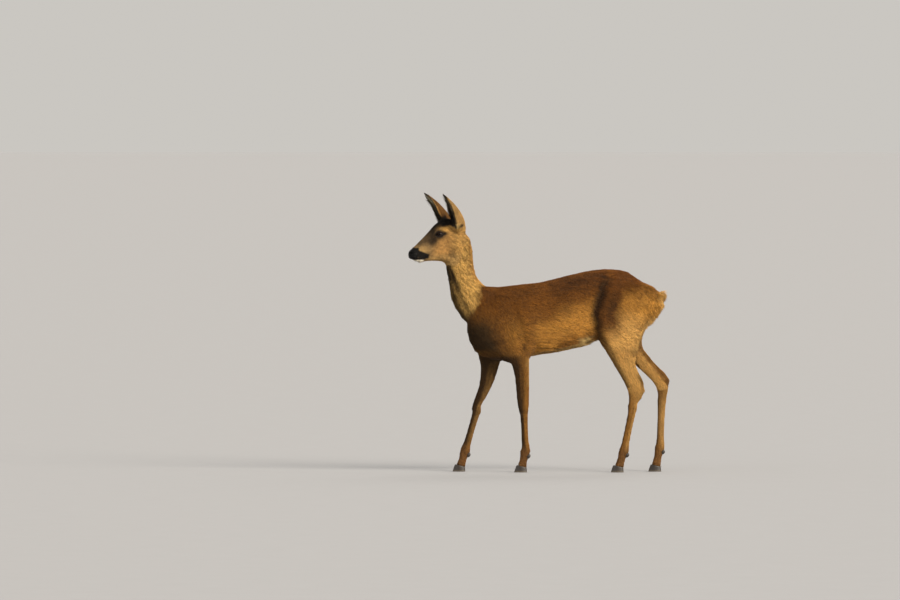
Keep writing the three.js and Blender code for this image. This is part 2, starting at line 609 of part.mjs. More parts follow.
const CARPUS_STATION = 7.1;       // where the cut through the carpus or hock is, in stations
const HOCK_STATION = 8.45;
for (const [name, foot] of Object.entries(feet)) {
  const upper = foot.stations[foot.side];
  const whole = [...upper, ...lowerLegStations(foot)];
  const fore = name.startsWith('fore');
  const jointAt = fore ? CARPUS_STATION : HOCK_STATION;
  const fetlockAt = upper.length + foot.cannon.length - 0.55;
  const jointCut = legPlane(stationAt(whole, jointAt));
  const fetlockCut = legPlane(stationAt(whole, fetlockAt));
  const coronet = new THREE.Vector3(HOOF.heelHeight - HOOF.toeHeight, 0, -HOOF.length).normalize();
  const coronetCut = { normal: coronet, offset: coronet.dot(new THREE.Vector3(foot.sole[0], 0,
    (HOOF.toeHeight + HOOF.heelHeight) / 2 + CUT_GAP)) };
  if (fore) {
    const tilted = aboveForearm(foot.side);
    const slant = new THREE.Vector3(0, 1, foot.side).normalize();
    const places = runOf(whole, 2.1, jointAt, 7).map(asPlace);
    places.slice(0, 3).forEach((place, i) => {
      place.across = slant.clone().lerp(ACROSS, i / 3).normalize();
    });
    settle(places, flip(tilted), jointCut);
    add(`${name}_forearm`, castPiece(places, SIDES.forearm, [flip(tilted), jointCut, ownSide(foot.side)]));
  } else {
    const stifleCut = legPlane(upper[4]);
    const thighTop = line(...thighLine.toReversed(), upper[2][5]);
    const thighLines = [thighTop, lineOf(upper[3]), lineOf(upper[4])];
    const thighPlaces = settle(densify(thighLines, 4).map(asPlace), flip(aboveThigh), stifleCut);
    const thighLimits = [flip(aboveThigh), stifleCut, ownSide(foot.side)];
    add(`${name}_thigh`, castPiece(thighPlaces, SIDES.thigh, thighLimits));
    const gaskinPlaces = settle(runOf(whole, 4, jointAt, 7).map(asPlace), flip(stifleCut), jointCut);
    const gaskinLimits = [flip(stifleCut), jointCut, ownSide(foot.side)];
    add(`${name}_gaskin`, castPiece(gaskinPlaces, SIDES.gaskin, gaskinLimits));
  }
  const cannonPlaces = settle(runOf(whole, jointAt, fetlockAt, 8).map(asPlace), flip(jointCut), fetlockCut);
  add(`${name}_cannon`, castPiece(cannonPlaces, SIDES.lower, [flip(jointCut), fetlockCut]));
  const pasternPlaces = settle(runOf(whole, fetlockAt, whole.length - 2, 6)
    .concat([lineOf(whole.at(-1))]).map(asPlace), flip(fetlockCut), coronetCut);
  const pasternLimits = [flip(fetlockCut), coronetCut];
  add(`${name}_pastern`, castPiece(pasternPlaces, SIDES.lower, pasternLimits));
  const pasternTool = castPiece(pasternPlaces, SIDES.lower, pasternLimits, CUT_GAP);
  for (const [digitName, digit] of [['inner', -foot.side], ['outer', foot.side]]) {
    add(`${name}_hoof_${digitName}`, makeHoof(foot, digit), 'horn');
    const claw = new THREE.SphereGeometry(1, 7, 4).scale(DEWCLAW.depth, DEWCLAW.half, DEWCLAW.rise);
    claw.rotateY(THREE.MathUtils.degToRad(DEWCLAW.tilt));
    claw.translate(foot.fetlock[0] + DEWCLAW.behind, foot.y + digit * DEWCLAW.split,
      foot.fetlock[1] - DEWCLAW.below);
    add(`${name}_dewclaw_${digitName}`, cutAway(bare(claw), pasternTool), 'horn');
  }
}

export default deer;
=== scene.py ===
# A roe deer doe, life size, standing alert. It is one skin with a short summer coat, two eyes,
# four cloven hooves and their dewclaws. Metres, +Z up; the deer faces -X, its left side -Y.
import math

import bmesh
import bpy
import numpy as np
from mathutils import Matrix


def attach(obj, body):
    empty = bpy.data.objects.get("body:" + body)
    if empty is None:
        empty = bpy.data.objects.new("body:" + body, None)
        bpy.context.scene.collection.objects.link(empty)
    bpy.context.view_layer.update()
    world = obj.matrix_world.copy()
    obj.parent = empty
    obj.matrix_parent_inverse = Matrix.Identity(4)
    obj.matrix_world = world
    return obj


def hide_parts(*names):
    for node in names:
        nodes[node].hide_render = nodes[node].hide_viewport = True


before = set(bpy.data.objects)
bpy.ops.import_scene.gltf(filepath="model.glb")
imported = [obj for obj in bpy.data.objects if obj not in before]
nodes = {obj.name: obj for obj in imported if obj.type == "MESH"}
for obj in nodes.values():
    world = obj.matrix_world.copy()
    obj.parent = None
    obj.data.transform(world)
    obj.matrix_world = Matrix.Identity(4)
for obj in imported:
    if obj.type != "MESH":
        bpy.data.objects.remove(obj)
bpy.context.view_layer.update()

# ---- The skin ----
# The real piece is hide over muscle and bone, without a seam from nose to coronets. It is the
# solids of the flesh grown together, smoothed, and drawn in by the depth of the coat.
MM = 0.001
OVERLAP = 1.6 * MM               # each solid grows by this, so that the cuts between them close
VOXEL = 4.6 * MM                 # grain of the first skin, fine enough for a cannon bone
GROWS = ("trunk", "neck", "head", "nose", "tail", "forearm", "thigh", "gaskin", "cannon", "pastern",
         "eye")
flesh = [name for name in nodes if name.split("_")[-1] in GROWS or name.startswith("eye")]


def read(items, field, width, kind=np.float32):
    """A field of all of a mesh's items as one array, width values for each."""
    values = np.empty(len(items) * width, kind)
    items.foreach_get(field, values)
    return values.reshape(-1, width)


def corners(mesh):
    """Where all of a mesh's corners are."""
    return read(mesh.vertices, "co", 3).astype(float)


def corner_normals(mesh):
    """The direction that the surface faces at every corner."""
    return read(mesh.vertex_normals, "vector", 3).astype(float)


def edges_of(mesh):
    """Every edge as a pair of corner numbers."""
    return read(mesh.edges, "vertices", 2, np.int32)


def place(mesh, points):
    """Puts a mesh's corners at these points."""
    mesh.vertices.foreach_set("co", np.asarray(points, np.float32).ravel())
    mesh.update()


def show(name, data):
    """A new object in the scene, at the origin, unturned."""
    thing = bpy.data.objects.new(name, data)
    bpy.context.scene.collection.objects.link(thing)
    return thing


def reworked(mesh, change, source=None):
    """Lets change(bm) edit a mesh, or fill it with an edited copy of another one."""
    bm = bmesh.new()
    bm.from_mesh(source or mesh)
    bm.verts.ensure_lookup_table()
    change(bm)
    bm.to_mesh(mesh)
    bm.free()
    return mesh


def grown_copy(name):
    """A copy of a solid with its loose triangles merged, moved outwards by the overlap."""
    mesh = reworked(bpy.data.meshes.new(name + "_copy"),
                    lambda bm: bmesh.ops.remove_doubles(bm, verts=bm.verts, dist=1e-5), nodes[name].data)
    place(mesh, corners(mesh) + OVERLAP * corner_normals(mesh))
    return mesh


def applied(thing, *settings):
    """The mesh of an object after the modifiers given as (kind, {setting: value})."""
    for kind, values in settings:
        modifier = thing.modifiers.new(kind, kind)
        for key, value in values.items():
            setattr(modifier, key, value)
    graph = bpy.context.evaluated_depsgraph_get()
    mesh = bpy.data.meshes.new_from_object(thing.evaluated_get(graph))
    thing.modifiers.clear()
    return mesh


skin = show("skin", reworked(bpy.data.meshes.new("skin"),
                             lambda bm: [bm.from_mesh(grown_copy(name)) for name in flesh]))
skin.data = applied(skin, ("REMESH", {"mode": "VOXEL", "voxel_size": VOXEL}))


def drift(points, edges, moves, share):
    """Moves each corner towards the middle of its neighbours: each of moves is the part of the way,
    and share (0 to 1) scales it at each corner."""
    ends, others = np.r_[edges[:, 0], edges[:, 1]], np.r_[edges[:, 1], edges[:, 0]]
    count = np.bincount(ends, minlength=len(points))[:, None]
    for move in moves:
        total = np.stack([np.bincount(ends, points[others, k], len(points)) for k in range(3)], 1)
        points = points + move * share * (total / count - points)
    return points


def relax(points, edges, rounds, share=1.0):
    """Fades bumps but keeps the size: half way in, then a little further than that back."""
    return drift(points, edges, (0.5, -0.53) * rounds, share)


def melt(points, edges, rounds, share):
    """Smooths for good: each round moves a corner half way."""
    return drift(points, edges, (0.5,) * rounds, share[:, None])


def rise(low, high, value):
    """0 below low, 1 above high, and an S curve between."""
    t = np.clip((value - low) / (high - low), 0, 1)
    return t * t * (3 - 2 * t)


HEAD_YAW = math.radians(16)      # how far the head is turned to the left
POLL = -0.300                    # where the head joins the neck, in x


def head_frame(points):
    """Forward from the poll, out towards the left, and up: the head's own directions."""
    dx = points[:, 0] - POLL
    y = points[:, 1]
    return np.stack([-dx * math.cos(HEAD_YAW) - y * math.sin(HEAD_YAW),
                     dx * math.sin(HEAD_YAW) - y * math.cos(HEAD_YAW), points[:, 2]], 1)


edges = edges_of(skin.data)
points = corners(skin.data)
on_head = rise(0.70, 0.76, points[:, 2])
local = head_frame(points)
EYE = np.array([56.0, 28.3, 834.0]) * MM      # the left eye's middle, in the head's directions
CHIN = (0.132, 0.735)            # forward and up
sockets = np.linalg.norm(local[:, [0, 2]] - EYE[[0, 2]], axis=1)
sockets = rise(0.028, 0.014, sockets) * (np.abs(local[:, 1]) > 0.02)
points = melt(points, edges, 14, sockets)
chin = rise(0.022, 0.008, np.hypot(local[:, 0] - CHIN[0], local[:, 2] - CHIN[1]))
points = melt(points, edges, 6, chin)
points = relax(points, edges, 70, (1 - 0.2 * on_head)[:, None])
place(skin.data, points)


def refine(mesh, near):
    """Splits the edges whose both ends are wanted, so that the surface there gets finer."""
    wanted = near(corners(mesh))

    def split(bm):
        chosen = [e for e in bm.edges if wanted[e.verts[0].index] and wanted[e.verts[1].index]]
        bmesh.ops.subdivide_edges(bm, edges=chosen, cuts=1, use_grid_fill=True)
        bmesh.ops.triangulate(bm, faces=[f for f in bm.faces if len(f.verts) > 4])

    reworked(mesh, split).update()


def whole_head(points):
    """Everything in front of the nape."""
    local = head_frame(points)
    ahead = local[:, 0] + 0.6 * (local[:, 2] - 0.74) > -0.01
    return (local[:, 0] > -0.035) & (points[:, 2] > 0.725) & ahead


def eyes_and_muzzle(points):
    """The lids, the glands before the eyes, the nose and the lips."""
    local = head_frame(points)
    across = np.abs(local[:, 1]) - EYE[1]
    gap = np.sqrt((local[:, 0] - EYE[0] - 0.006) ** 2 + across ** 2 + (local[:, 2] - EYE[2] + 0.002) ** 2)
    return (gap < 0.031) | (local[:, 0] > 0.108) | ((local[:, 0] > 0.084) & (local[:, 2] < 0.765))


refine(skin.data, whole_head)
points = corners(skin.data)
edges = edges_of(skin.data)
on_head = rise(-0.04, 0.01, head_frame(points)[:, 0]) * (points[:, 2] > 0.728)
points = melt(points, edges, 5, on_head)
place(skin.data, relax(points, edges, 8))
refine(skin.data, eyes_and_muzzle)
points = corners(skin.data)
edges = edges_of(skin.data)
points = melt(points, edges, 4, rise(0.02, 0.05, head_frame(points)[:, 0]) * (points[:, 2] > 0.728))
place(skin.data, relax(points, edges, 4))

# Bones, muscles and tendons under the hide, as soft ridges and grooves along lines in the side
# view. Each line: its [x, z] points in mm, groove (-) or ridge (+) height, half width, how much
# the part in front of (-) or behind (+) it stands proud, that part's half width, and the line's
# side: both (0), or only the left (-1) or the right leg (1).
LEFT, RIGHT = -1, 1
RELIEF = (
    ([[238, 690], [222, 655], [205, 603], [194, 560], [196, 500], [210, 450]], -5.5, 10, 5.0, 30, 0),
    ([[-52, 440], [-62, 500], [-84, 560], [-112, 620]], -2.5, 13, -3.0, 26, 0),
    ([[-20, 430], [-46, 436], [-80, 424]], -3.0, 8, 0.0, 20, RIGHT),
    ([[-158, 640], [-140, 560], [-128, 500]], 2.0, 10, 0.0, 20, 0),
    ([[-330, 742], [-300, 660], [-268, 590], [-232, 540]], -3.0, 10, 0.0, 20, 0),
    ([[372, 640], [352, 590], [350, 530], [352, 470]], -2.4, 12, 0.0, 20, 0),
    ([[252, 680], [300, 640], [380, 622]], 2.2, 14, 0.0, 20, 0),
    ([[300, 560], [312, 480], [322, 400]], -1.6, 12, 0.0, 20, 0),
    ([[332, 420], [347, 372], [357, 336]], -3.4, 5.5, 0.0, 12, LEFT),
    ([[362, 420], [398, 378], [436, 342]], -3.4, 5.5, 0.0, 12, RIGHT),
    ([[-60, 380], [-58, 300], [-56, 262]], -1.2, 6, 0.0, 12, LEFT),
    ([[-164, 372], [-178, 320], [-196, 272]], -1.2, 6, 0.0, 12, RIGHT),
    ([[338, 258], [318, 170], [302, 100]], -1.4, 3.6, 0.0, 8, LEFT),
    ([[440, 280], [436, 190], [431, 110]], -1.4, 3.6, 0.0, 8, RIGHT),
    ([[-47, 218], [-42, 150], [-40, 96]], -1.3, 3.4, 0.0, 8, LEFT),
    ([[-210, 214], [-232, 150], [-249, 98]], -1.3, 3.4, 0.0, 8, RIGHT),
)


def from_line(x, z, line):
    """Distance to the left of a line of points in the side view, less than zero on its right,
    and how far along it (0 to 1) the nearest spot is."""
    line = np.asarray(line, float)
    nearest = np.full(x.shape, 1e9)
    signed = np.full(x.shape, 1e9)
    along = np.zeros(x.shape)
    for i, (a, b) in enumerate(zip(line[:-1], line[1:])):
        step = b - a
        t = np.clip(((x - a[0]) * step[0] + (z - a[1]) * step[1]) / (step @ step), 0, 1)
        dx, dz = x - a[0] - t * step[0], z - a[1] - t * step[1]
        gap = np.hypot(dx, dz)
        closer = gap < nearest
        side = np.sign(dz * step[0] - dx * step[1])
        signed = np.where(closer, gap * side, signed)
        along = np.where(closer, (i + t) / (len(line) - 1), along)
        nearest = np.minimum(gap, nearest)
    return signed, along


def hill(value, half):
    """A round hill, 1 at the middle and near 0 at twice its half width."""
    return np.exp(-(value / half) ** 2)


def spot(across, up, half, wide=1, tall=1):
    """A hill over two distances, wide and tall times as large along them."""
    return hill(np.hypot(across / wide, up / tall), half)


def relief(points, normals):
    """How far bones and muscles lift or sink the hide, from the lines in the side view. It fades
    towards a line's ends and where the surface doesn't face sideways."""
    x, y, z = (points / MM).T
    sideways = rise(0.25, 0.75, np.abs(normals[:, 1]))
    height = np.zeros(len(points))
    for line, lift, half, step, reach, side in RELIEF:
        low, high = np.min(line, 0) - 60, np.max(line, 0) + 60
        near = (x > low[0]) & (x < high[0]) & (z > low[1]) & (z < high[1])
        signed, along = from_line(x[near], z[near], line)
        fade = rise(0, 0.16, along) * rise(1, 0.84, along)
        bulge = np.sign(step) * signed
        own_leg = (y[near] * side) > 0 if side else 1.0
        height[near] += own_leg * fade * sideways[near] * (
            lift * hill(signed, half) + abs(step) * hill(bulge - 0.8 * reach, reach) * (bulge > 0)
            * rise(0, 0.5 * reach, bulge))
    return height * MM


def swellings(points, normals):
    """Round bumps: hip, pin bone, point of the shoulder, elbow, stifle and the shoulder's top."""
    x, _, z = (points / MM).T
    bumps = ((228, 682, 3.2, 15), (262, 700, 2.6, 15), (405, 628, 2.4, 16), (-232, 505, 3.0, 24),
             (-34, 432, 3.0, 15), (236, 470, 2.6, 22), (-146, 646, 2.0, 18))
    lift = sum(h * spot(x - a, z - b, r) for a, b, h, r in bumps)
    return lift * rise(0.2, 0.7, np.abs(normals[:, 1])) * MM


points = corners(skin.data)
normals = corner_normals(skin.data)
points = points + normals * (relief(points, normals) + swellings(points, normals))[:, None]


def coat_depth(points):
    """How far the coat stands off the skin: deep on the trunk and neck, thin on the face, the
    muzzle and the lower legs, nothing on the nose."""
    local = head_frame(points) / MM
    z = points[:, 2] / MM
    deep = 4.2 - 2.2 * rise(470, 300, z) - 0.6 * rise(250, 60, z)
    head = rise(0.70, 0.78, points[:, 2])
    face = 2.6 - 1.6 * rise(20, 95, local[:, 0])
    depth = deep * (1 - head) + face * head
    return depth * rise(150, 138, local[:, 0]) * MM


# The skin moves in from the coat's tips by the coat's depth and by the overlap.
place(skin.data, points)
place(skin.data, points - corner_normals(skin.data) * (coat_depth(points) + OVERLAP)[:, None])

# ---- The ears' shape, the lids, the nostrils and the lips, all in the same skin ----
# Ears are cartilage under thin skin: cupped leaves, open to the front and a little outwards. They
# are worked out as closed surfaces and united with the head.
EARS = {
    "left": {"root": (-18, 23, 846), "tip": (-333, -104, 974), "open": (-0.91, -0.41, 0), "half": 32},
    "right": {"root": (6, -22, 842), "tip": (-400, 84, 977), "open": (-0.995, -0.08, 0), "half": 28},
}
EAR_CUP = 29 * MM                # how deep the leaf is cupped
EAR_LIFT = 3.5 * MM              # how far it bows backwards
EAR_EDGE = 2.6 * MM
EAR_FOOT = -0.16                 # it starts this share of its length inside the head
EAR_COAT = 0.9 * MM
EAR_WALL = 1.6 * MM


def unit(vectors):
    """The same directions with length one."""
    return vectors / np.maximum(np.linalg.norm(vectors, axis=-1, keepdims=True), 1e-9)


def from_head(local):
    """The reverse of head_frame, for points."""
    ahead, out, up = local[..., 0], local[..., 1], local[..., 2]
    return np.stack([POLL - ahead * math.cos(HEAD_YAW) + out * math.sin(HEAD_YAW),
                     -ahead * math.sin(HEAD_YAW) - out * math.cos(HEAD_YAW), up], -1)


def ear_axes(ear):
    """Where an ear starts, its axis, length, the way it opens, and across."""
    root = from_head(np.array(ear["root"]) * MM)
    axis = np.array(ear["tip"]) * MM - root
    length = np.linalg.norm(axis)
    axis = axis / length
    front = unit(np.array(ear["open"]) - axis * (np.array(ear["open"]) @ axis))
    return root, axis, length, front, np.cross(axis, front)


def ear_form(ear, share):
    """Half width, cup depth, how far the leaf wraps round (an angle) and how far it bows back, at
    a share of the length. The width is a sine that peaks below the middle, the cup a cosine."""
    up = share.clip(0, 1)
    edge = (EAR_EDGE - EAR_COAT) * rise(1.02, 0.9, share)
    leaf = np.sin(np.pi * (0.16 + 0.84 * up) ** 1.12).clip(0) ** 0.66
    narrow = 1 - 0.55 * rise(0.10, -0.16, share)
    half = (ear["half"] * MM * leaf + edge) * narrow
    cup = (EAR_CUP * np.cos(np.pi / 2 * up).clip(0) ** 1.1 * (0.8 + 0.6 * up) + edge) * narrow
    wrap = 1.95 - 0.45 * rise(0.3, 0.85, up)
    return half, cup, wrap, EAR_LIFT * np.sin(np.pi * up ** 0.8)


def ear_surface(ear, rows=56, columns=30):
    """A closed leaf: for each share of the length, half an ellipse for the back and a smaller one
    for the inside, which is filled near the root and hollow further up."""
    root, axis, length, front, side = ear_axes(ear)
    share = (EAR_FOOT + (1 - EAR_FOOT) * np.sin(np.linspace(0, np.pi / 2, rows)) ** 0.8)[:, None]
    half, cup, wrap, lift = ear_form(ear, share)
    turn = np.linspace(-1, 1, columns)[None, :] * wrap
    out_x, out_y = half * np.sin(turn), -cup * np.cos(turn)
    wall = EAR_WALL * (1 - 0.4 * share) * (1 - 0.45 * np.abs(turn / wrap))
    hollow = rise(0.16, 0.42, share)
    mouth = 0.35 * cup * np.cos(turn / wrap * np.pi / 2) - cup * np.cos(wrap)
    in_x = (half - wall) * np.sin(turn * 0.985)
    in_y = mouth + (-(cup - wall) * np.cos(turn * 0.985) - mouth) * hollow
    x = np.concatenate([out_x, in_x[:, ::-1]], 1)[..., None]
    y = np.concatenate([out_y, in_y[:, ::-1]], 1)[..., None]
    middle = root + axis * (share * length)[..., None] - front * lift[..., None]
    return middle + side * x + front * y


def smooth(mesh):
    """Shades a mesh without facets, and gives it back."""
    mesh.polygons.foreach_set("use_smooth", np.ones(len(mesh.polygons), bool))
    return mesh


def faced_outwards(name, points, faces):
    """A closed mesh whose faces all look outwards, smooth."""
    mesh = bpy.data.meshes.new(name)
    mesh.from_pydata(points.tolist(), [], faces)
    reworked(mesh, lambda bm: bmesh.ops.recalc_face_normals(bm, faces=bm.faces))
    return smooth(mesh)


def ring_quads(rows, columns, steps):
    """Quads that join each of the first steps rings of points to the next one, or to the first."""
    row, column = np.meshgrid(np.arange(steps), np.arange(columns), indexing="ij")
    a, b = row * columns + column, row * columns + (column + 1) % columns
    on = ((row + 1) % rows - row) * columns
    return np.stack([a, b, b + on, a + on], -1).reshape(-1, 4).tolist()


def closed_tube(name, grid):
    """A closed mesh from rings of points: quads between the rings, and a fan on each end."""
    rows, columns = grid.shape[:2]
    points = np.concatenate([grid.reshape(-1, 3), grid[:1].mean(1), grid[-1:].mean(1)])
    quads = ring_quads(rows, columns, rows - 1)
    ring = np.arange(columns)
    after = (ring + 1) % columns
    first, last = rows * columns, rows * columns + 1
    start = np.stack([after, ring, np.full(columns, first)], 1)
    top = (rows - 1) * columns
    end = np.stack([top + ring, top + after, np.full(columns, last)], 1)
    return faced_outwards(name, points, quads + start.tolist() + end.tolist())


def far_from(points, places):
    """Distance from the nearest of a few places."""
    return np.min([np.linalg.norm(points - np.asarray(p), axis=1) for p in places], 0)


for ear in EARS.values():
    part = show("ear", closed_tube("ear", ear_surface(ear)))
    skin.data = applied(skin, ("BOOLEAN", {"operation": "UNION", "object": part, "solver": "EXACT"}))
    bpy.data.objects.remove(part)

# The skin runs up onto the ear in a soft fold, not a sharp corner.
folds = [root + axis * length * 0.07 for root, axis, length, _, _ in map(ear_axes, EARS.values())]
close = np.flatnonzero(far_from(corners(skin.data), folds) < 0.045)
reworked(skin.data, lambda bm: bmesh.ops.remove_doubles(bm, verts=[bm.verts[i] for i in close],
                                                        dist=0.9 * MM))
points = corners(skin.data)
soft = rise(0.046, 0.026, far_from(points, folds)) * (points[:, 2] > 0.83)
points = relax(melt(points, edges_of(skin.data), 12, soft), edges_of(skin.data), 5, soft[:, None])
place(skin.data, points)


# Each eye looks out and a little forward. Its opening is an almond, lower at the nose's end.
GAZE = np.array([0.40, 0.90, 0.10])
GAZE /= np.linalg.norm(GAZE)
EYE_RADIUS = 14.5 * MM
ALMOND = {"half": 12.4, "top": 8.0, "bottom": 6.6, "tilt": math.radians(-14)}


def eye_axes():
    """Forward and up on the left eye's ball, square to the gaze and turned by the almond's tilt, in
    the head's directions."""
    up = unit(np.array([0, 0, 1.0]) - GAZE * GAZE[2])
    ahead = np.cross(GAZE, up)
    turn = ALMOND["tilt"]
    return ahead * math.cos(turn) + up * math.sin(turn), up * math.cos(turn) - ahead * math.sin(turn)


def on_eye(points, sign):
    """For an eye (sign 1 is the left), in mm: how far forward, up and out along the gaze a point
    lies from the ball's middle."""
    offset = (head_frame(points) * [1, sign, 1] - EYE) / MM
    ahead, up = eye_axes()
    return offset @ ahead, offset @ up, offset @ GAZE


def off_eye(forward, up, out, sign):
    """The reverse of on_eye."""
    ahead, high = eye_axes()
    offset = forward[..., None] * ahead + up[..., None] * high + out[..., None] * GAZE
    return from_head((EYE + offset * MM) * [1, sign, 1])


def arches(forward):
    """The upper and the lower lid's edge, in mm: height x (1 - (place / half length) squared) to a
    power."""
    arch = np.clip(1 - (forward / ALMOND["half"]) ** 2, 0, 1)
    return ALMOND["top"] * arch ** 0.75, -ALMOND["bottom"] * arch ** 0.85


def outside_almond(forward, up):
    """Distance outside the opening between the lids, in mm, less than zero inside it."""
    high, low = arches(forward)
    over = np.maximum(up - high, low - up)
    beyond = np.maximum(np.abs(forward) - ALMOND["half"], 0)
    return np.where(beyond > 0, np.hypot(beyond, np.maximum(over, 0)), over)


def lids(points):
    """Drapes the skin over each eyeball. Outwards along the gaze, the skin takes a soft maximum
    (a + b + root of ((a - b) squared + k squared)) / 2 of its own height and of a lid that stands
    0.8 mm off the ball and thickens away from its edge, with a crease over the upper lid. Inside
    the opening it dives behind the ball. A low swell carries the whole socket out."""
    radius = EYE_RADIUS / MM
    for sign in (1, -1):
        forward, up, out = on_eye(points, sign)
        reach = np.hypot(forward, up)
        gap = outside_almond(forward, up)
        own = out + 2.6 * hill(reach, 21) * rise(-14, 2, out)
        lid = radius + 0.7 + 1.5 * rise(0, 4, gap)
        ball = np.sqrt(np.maximum(lid ** 2 - reach ** 2, 1.0)) - 1.6 * np.maximum(reach - lid, 0)
        blend = 0.5 + 5.5 * rise(1, 9, gap)
        soft = (own + ball + np.sqrt((own - ball) ** 2 + blend ** 2)) / 2
        soft -= (blend / 2) * hill(reach - 15, 8) * 0.3
        hold = 1 - rise(1.0, 6.0, gap)
        wanted = ball * hold + soft * (1 - hold) - 0.9 * hill(gap - 4.4, 1.0) * (up > 0)
        inside = np.sqrt(np.maximum(radius ** 2 - reach ** 2, 0)) - 0.3 - 5 * rise(0, 2.2, -gap)
        wanted = np.where(gap > 0, wanted, inside)
        fade = rise(34, 22, reach)
        near = (out > -12) & (reach < 34)
        out = np.where(near, wanted * fade + out * (1 - fade), out)
        points = np.where(near[:, None], off_eye(forward, up, out, sign), points)
    return points


def face_relief(points):
    """Hollows and folds of the face in mm, along the skin's normal: nostrils like commas, the cleft
    under the nose, the mouth's line with fuller lips over and under it, the gland's slit before the
    eye, the jaw's edge and the cheekbone."""
    local = head_frame(points) / MM
    f, o, z = local[:, 0], np.abs(local[:, 1]), local[:, 2]
    front = rise(120, 140, f)
    lift = -9.0 * spot(f - 154, z - 768 + 0.25 * (154 - f), 1, 7.0, 3.6) * hill(o - 10.5, 4.8)
    lift -= 2.4 * spot(f - 146, z - 771 - 0.45 * (146 - f), 1, 5.5, 1.8) * hill(o - 14, 5)
    lift += 1.0 * spot(f - 150, z - 777, 1, 8, 3.0) * hill(o - 10, 6)
    lift -= 1.1 * hill(o, 1.0) * front * rise(768, 758, z)
    mouth = from_line(f, z, [[153, 750], [140, 748.5], [120, 749.5], [104, 753], [96, 757]])[0]
    along = rise(90, 100, f)
    lift -= 1.5 * hill(mouth, 1.2) * along
    lift += 0.6 * (hill(np.abs(mouth) - 4.2, 2.8)) * along
    slit, share = from_line(f, z, [[77, 824], [84, 815], [92, 806]])
    within = np.abs(share - 0.5) < 0.499
    lift -= 2.0 * hill(slit, 1.8) * rise(26, 30, o) * within
    lift += 1.2 * hill(np.abs(slit) - 4, 2.2) * rise(24, 30, o) * within
    jaw = from_line(f, z, [[14, 752], [40, 746], [80, 744], [110, 744]])[0]
    lift += 1.2 * hill(jaw, 5) * rise(12, 20, o)
    lift -= 1.6 * hill(from_line(f, z, [[40, 800], [70, 792], [104, 776]])[0], 7) * rise(14, 24, o)
    lift += 1.4 * hill(from_line(f, z, [[10, 812], [44, 812], [78, 800]])[0], 5) * rise(20, 30, o)
    return lift * MM


def chin_set_back(points):
    """Moves the chin 12 mm back under the upper lip's overhang, and rounds its middle 2 mm down."""
    local = head_frame(points) / MM
    f, up = local[:, 0], local[:, 2]
    low = rise(751, 745, up)
    local[:, 0] = f - 12 * rise(116, 150, f) * low
    local[:, 2] = up - 2 * hill(f - 118, 20) * low
    return from_head(local * MM)


points = corners(skin.data)
normals = corner_normals(skin.data)
headward = (head_frame(points)[:, 0] > -0.02) & (points[:, 2] > 0.72)
points[headward] += (normals * face_relief(points)[:, None])[headward]
points[headward] = chin_set_back(lids(points[headward]))
place(skin.data, points)
smooth(skin.data)

# ---- The hide's flat map, and its markings ----
# The map lays the hide out flat from its own shape, as a tanner would pin it. The markings are a late summer
# doe's: red-brown, darker along the back, pale behind the thighs, black about the nose. Painted shade and
# painted light for a lamp low on the right are laid in with them: darker fronts, creases and inner sides,
# lighter sides and edges that face the lamp.
bpy.context.view_layer.objects.active = skin
skin.select_set(True)
skin.data.uv_layers.new(name="OFBake")
bpy.ops.object.mode_set(mode="EDIT")
bpy.ops.mesh.select_all(action="SELECT")
bpy.ops.uv.smart_project(angle_limit=math.radians(66), island_margin=0.002)
bpy.ops.object.mode_set(mode="OBJECT")


def linear(code):
    """A colour's linear values from its sRGB hex code: ((value + 0.055) / 1.055) to the power 2.4,
    or value / 12.92 where it is dark."""
    value = np.array([int(code[i:i + 2], 16) for i in (1, 3, 5)]) / 255
    return np.where(value > 0.04045, ((value + 0.055) / 1.055) ** 2.4, value / 12.92)


def patches(points, size, seed=0):
    """Soft random patches between -1 and 1, about size across: random values at the corners of a
    grid of cubes, joined by S curves."""
    grid = points / size + seed * 17.3
    base = np.floor(grid)
    part = grid - base
    part = part * part * (3 - 2 * part)
    total = np.zeros(len(points))
    for corner in np.ndindex(2, 2, 2):
        cell = base + corner
        value = np.sin(cell @ [12.9898, 78.233, 37.719]) * 43758.5453
        share = np.prod(np.where(corner, part, 1 - part), axis=1)
        total += share * (2 * (value - np.floor(value)) - 1)
    return total


REST = {                          # the doe's colours, with painted shade and painted light among them
    "back": "#512f0f", "saddle and shade": "#6d4213", "shoulder": "#6a4015", "flank": "#b37e35",
    "belly": "#9c7d4b", "loin": "#57320f", "haunch": "#c0893b", "croup and shade": "#633910", "ham and lit side": "#d6a55c",
    "crease shade": "#201509", "rump": "#cd9f58", "groin": "#d8b878", "neck": "#c69c56",
    "nape": "#c1914c", "throat shade": "#312514", "chest shade": "#3c2a14", "leg": "#97672c",
    "leg shade": "#38240f", "inner leg": "#9a7543", "pastern": "#805830", "cheek": "#ae834a",
    "bridge_and_shade": "#1f160d", "crown and shade": "#140e09", "brow": "#d6a559", "gland": "#35281a",
    "muzzle": "#6f5b40", "black": "#0e0c0b", "chin": "#ddd3c0", "jaw": "#b08e58",
    "ear back": "#b28c55", "ear rim": "#1a130d", "ear inside": "#b5a888", "ear inside shade": "#3a3024",
    "tail": "#c79a58",
}
PELT = {name: linear(code) for name, code in REST.items()}
TAIL = [(0.440, 0, 0.623)]        # the stub of a tail, in metres
OUTLINE = {                       # heights of the back and the belly in mm at places along the body
    "x": (-230, -135, 75, 180, 258, 360, 430), "back": (640, 656, 677, 700, 716, 690, 632),
    "belly": (470, 415, 424, 446, 470, 480, 480),
}


